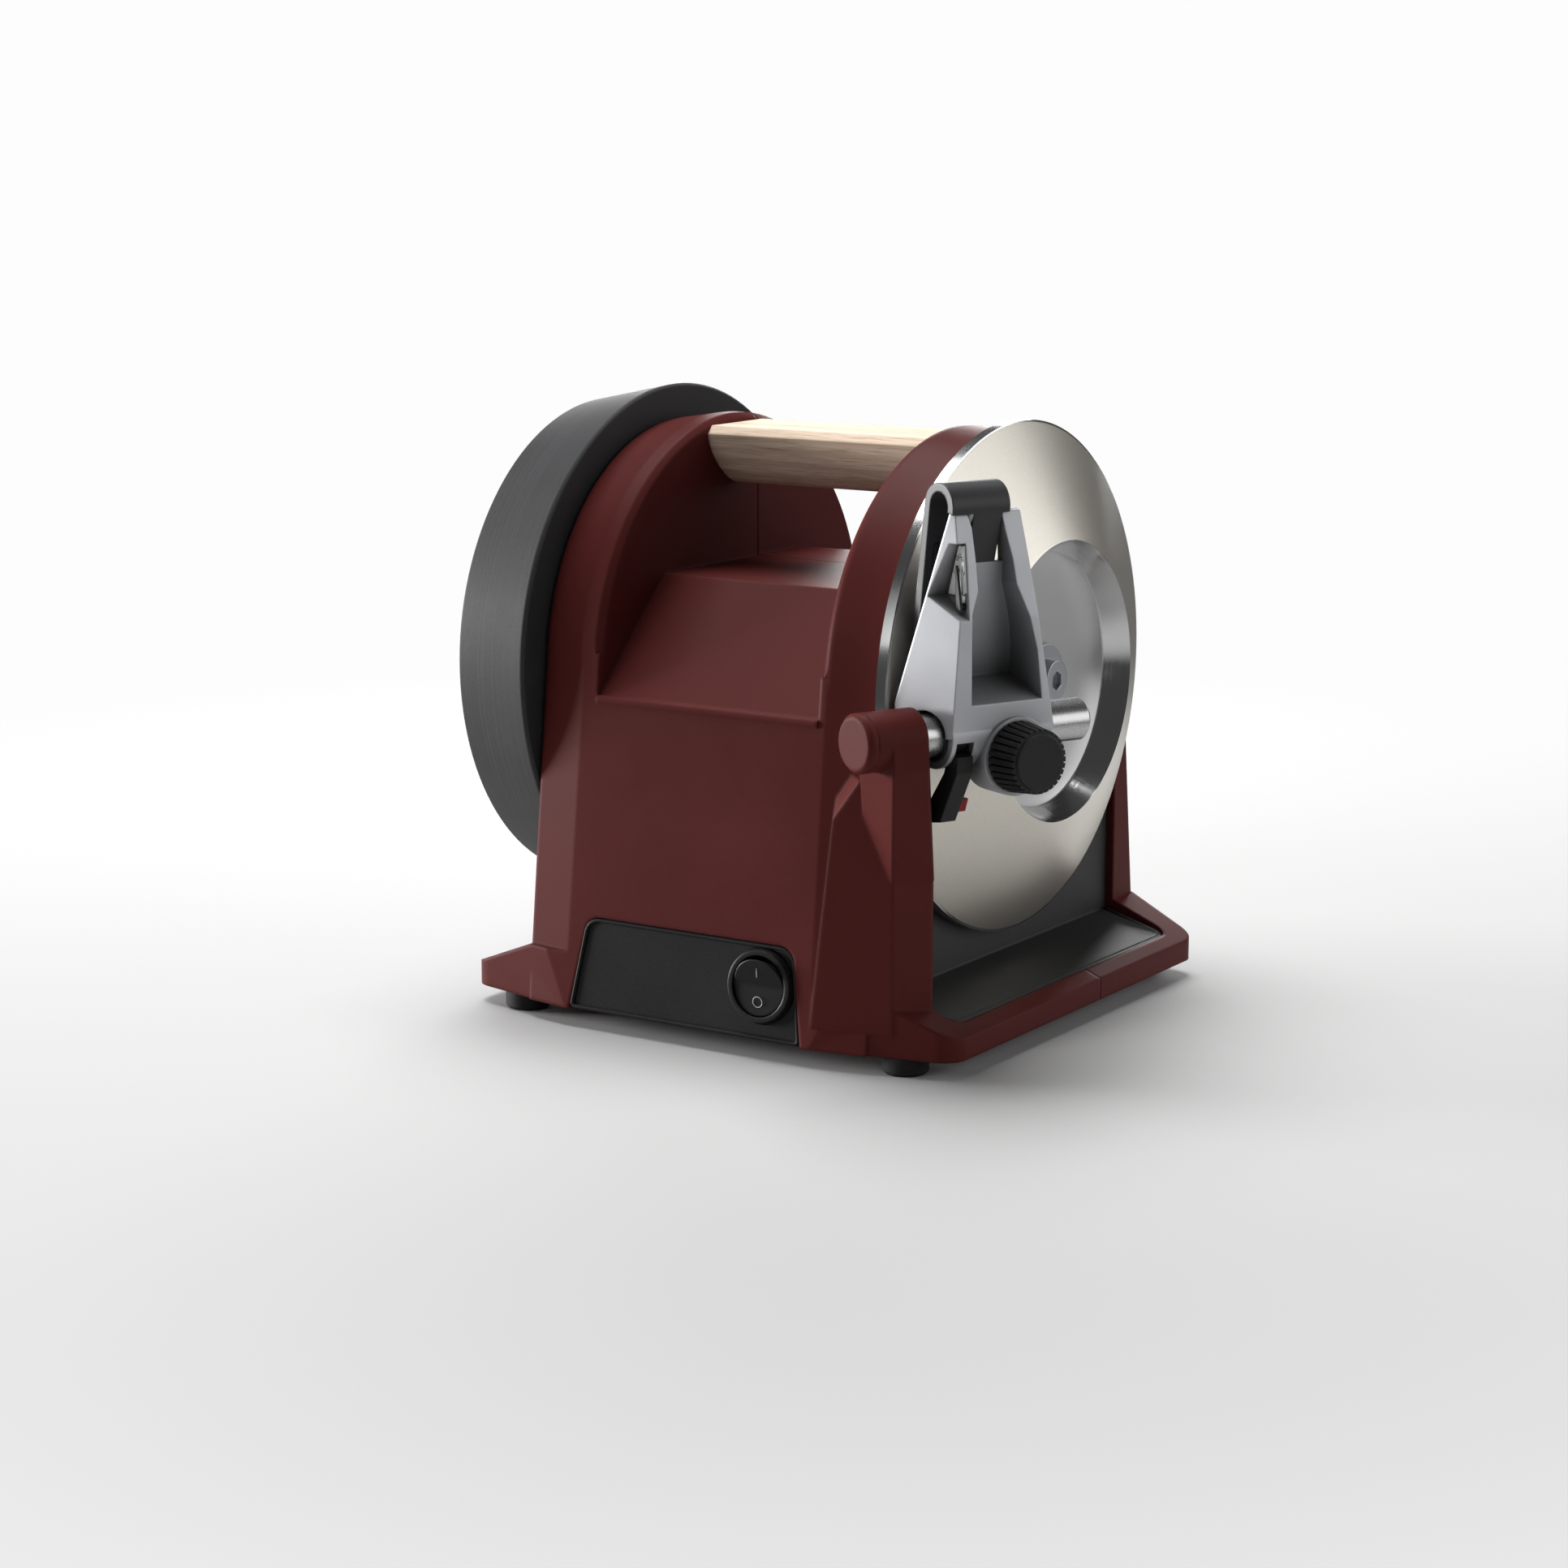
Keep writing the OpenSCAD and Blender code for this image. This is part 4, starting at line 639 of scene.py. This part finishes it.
# Numbers and ticks of the angle scale on the guide's left arm
scaleMarks = {"figures": (("20", 0.00545, 0.0572), ("15", 0.0069, 0.0579),
                          ("10", 0.0083, 0.0572)),
              "size": 0.0019, "thick": 0.0001, "face": 0.00478,
              "ticks": ((0.0042, 0.0521), (0.0055, 0.0527), (0.0068, 0.0529), (0.0081, 0.0527),
                        (0.0092, 0.0521)),
              "tick": 0.0011, "line": 0.00011, "middle": 0.0068, "fan": 0.12}


def makeScale(settings):
    turn = Matrix.Rotation(radians(90), 4, "X") @ Matrix.Rotation(radians(-90), 4, "Z")
    for words, across, up in settings["figures"]:
        place = barFrame @ Matrix.Translation((across, settings["face"], up)) @ turn
        finishPiece("figure_" + words, textShape(words, settings["size"], settings["thick"]),
                    place, "knife_guide", "black_plastic")
    for count, (across, up) in enumerate(settings["ticks"]):
        lean = (across - settings["middle"]) * settings["fan"]
        ends = [(across, settings["face"], up),
                (across + lean, settings["face"], up + settings["tick"])]
        finishPiece("tick_" + str(count + 1), beadShape(ends, settings["line"], False),
                    barFrame, "knife_guide", "black_plastic")


makeScale(scaleMarks)
print("scale dressed")

# Soft pad on the inside of the jaw's leg
jawPad = {"size": (0.0016, 0.0165, 0.019), "bevel": 0.0005, "place": (-0.00655, 0.0118, 0.0512),
          "lean": 7.6}


def makeJawPad(settings):
    place = (barFrame @ Matrix.Translation(settings["place"])
             @ Matrix.Rotation(radians(settings["lean"]), 4, "Y"))
    finishPiece("jaw_pad", blockShape(settings["size"], settings["bevel"]), place,
                "knife_guide", "rubber")


makeJawPad(jawPad)
print("jaw pad laid in")

# Raised bead along the three free sides of the sloping tray of the side cover
trayBead = {"bead": 0.0007, "inner": 0.0668, "outer": 0.0899, "front": -0.0731, "rear": 0.0751,
            "corner": 0.0045, "wall": 0.0636, "wallFoot": 0.0236, "fall": 0.2946}


def makeTrayBead(settings):
    corners = [(settings["inner"], settings["front"]), (settings["outer"], settings["front"]),
               (settings["outer"], settings["rear"]), (settings["inner"], settings["rear"])]
    loop = roundedLoop(corners, [0.0, settings["corner"], settings["corner"], 0.0])
    points = [(spot[0], spot[1],
               settings["wallFoot"] - (spot[0] - settings["wall"]) * settings["fall"])
              for spot in loop]
    finishPiece("tray_bead", beadShape(points, settings["bead"], False), shaftFoot,
                "housing", "cover_plastic", smooth=True)


makeTrayBead(trayBead)

# Ribs round the outer part of the cord gland
glandRibs = {"place": (-0.018, 0.016), "radius": 0.00705, "taper": 0.0002, "bead": 0.00045,
             "steps": 48, "depths": (-0.0016, -0.0027, -0.0038)}


def makeGlandRibs(settings):
    for count, depth in enumerate(settings["depths"]):
        radius = settings["radius"] - count * settings["taper"]
        ring = ringPoints(*settings["place"], depth, radius, settings["steps"])
        finishPiece("gland_rib_" + str(count + 1), beadShape(ring, settings["bead"]), backFrame,
                    "housing", "black_plastic", smooth=True)


makeGlandRibs(glandRibs)
print("tray and gland dressed")

# Soft studio light on a plain pale floor
lamps = {
    "key": {"place": (-2.6, -0.73, 0.31), "size": (1.2, 0.5), "power": 126.0},
    "top": {"place": (-0.35, 0.2, 1.55), "size": (1.2, 1.0), "power": 35.0},
    "right": {"place": (1.43, 0.64, 0.52), "size": (2.5, 0.95), "power": 13.5},
    "back": {"place": (-0.875, 1.34, 0.4), "size": (1.3, 0.6), "power": 24.0},
    "front": {"place": (-0.5, -1.6, 1.0), "size": (0.8, 0.8), "power": 4.5},
}
# Every lamp points at a spot near the middle of the part
lampAim = Vector((0.0, 0.0, 0.1))


def placeLamps(settings, aim):
    for name, values in settings.items():
        lamp = bpy.data.lights.new(name, "AREA")
        lamp.shape = "RECTANGLE"
        lamp.size, lamp.size_y = values["size"]
        lamp.energy = values["power"]
        holder = bpy.data.objects.new(name, lamp)
        holder.location = values["place"]
        back = Vector(values["place"]) - aim
        holder.rotation_euler = back.to_track_quat("Z", "Y").to_euler()
        bpy.context.scene.collection.objects.link(holder)


placeLamps(lamps, lampAim)

# The camera sees a pale background, and the part gets only a little light from it
surroundings = {"colour": (1.0, 1.0, 1.0, 1.0), "ambient": 0.07, "seen": 0.98}


def buildWorld(settings):
    world = bpy.data.worlds.new("studio")
    world.use_nodes = True
    tree = world.node_tree
    tree.nodes.clear()
    rays = addNode(tree, "ShaderNodeLightPath")
    mix = addNode(tree, "ShaderNodeMixShader")
    output = addNode(tree, "ShaderNodeOutputWorld")
    tree.links.new(rays.outputs["Is Camera Ray"], mix.inputs["Fac"])
    for place, kind in ((1, "ambient"), (2, "seen")):
        glow = addNode(tree, "ShaderNodeBackground")
        glow.inputs["Color"].default_value = settings["colour"]
        glow.inputs["Strength"].default_value = settings[kind]
        tree.links.new(glow.outputs[0], mix.inputs[place])
    tree.links.new(mix.outputs[0], output.inputs["Surface"])
    bpy.context.scene.world = world


buildWorld(surroundings)

# The floor fades into the background between two distances from the part
floorSettings = {"colour": (0.49, 0.49, 0.49, 1.0), "rough": 0.9, "specular": 0.1,
                 "reach": 1.3, "fadeStart": 0.26, "fadeEnd": 0.78}


def floorMaterial(settings):
    material, tree, shader = startMaterial("paleFloor", settings)
    shader.inputs["Base Color"].default_value = settings["colour"]
    place = addNode(tree, "ShaderNodeTexCoord").outputs["Object"]
    reach = addNode(tree, "ShaderNodeVectorMath", operation="LENGTH")
    tree.links.new(place, reach.inputs[0])
    fade = addNode(tree, "ShaderNodeMapRange", interpolation_type="SMOOTHSTEP")
    tree.links.new(reach.outputs["Value"], fade.inputs["Value"])
    fade.inputs["From Min"].default_value = settings["fadeStart"]
    fade.inputs["From Max"].default_value = settings["fadeEnd"]
    clear = addNode(tree, "ShaderNodeBsdfTransparent")
    blend = addNode(tree, "ShaderNodeMixShader")
    tree.links.new(fade.outputs["Result"], blend.inputs["Fac"])
    tree.links.new(shader.outputs[0], blend.inputs[1])
    tree.links.new(clear.outputs[0], blend.inputs[2])
    ending = [part for part in tree.nodes if part.type == "OUTPUT_MATERIAL"][0]
    tree.links.new(blend.outputs[0], ending.inputs["Surface"])
    return material


def layFloor(settings):
    shape = bmesh.new()
    bmesh.ops.create_grid(shape, x_segments=2, y_segments=2, size=settings["reach"])
    mesh = bpy.data.meshes.new("floor")
    shape.to_mesh(mesh)
    shape.free()
    floor = bpy.data.objects.new("floor", mesh)
    bpy.context.scene.collection.objects.link(floor)
    mesh.materials.append(floorMaterial(settings))


layFloor(floorSettings)
bpy.context.scene.view_settings.view_transform = "Standard"
print("studio lit")
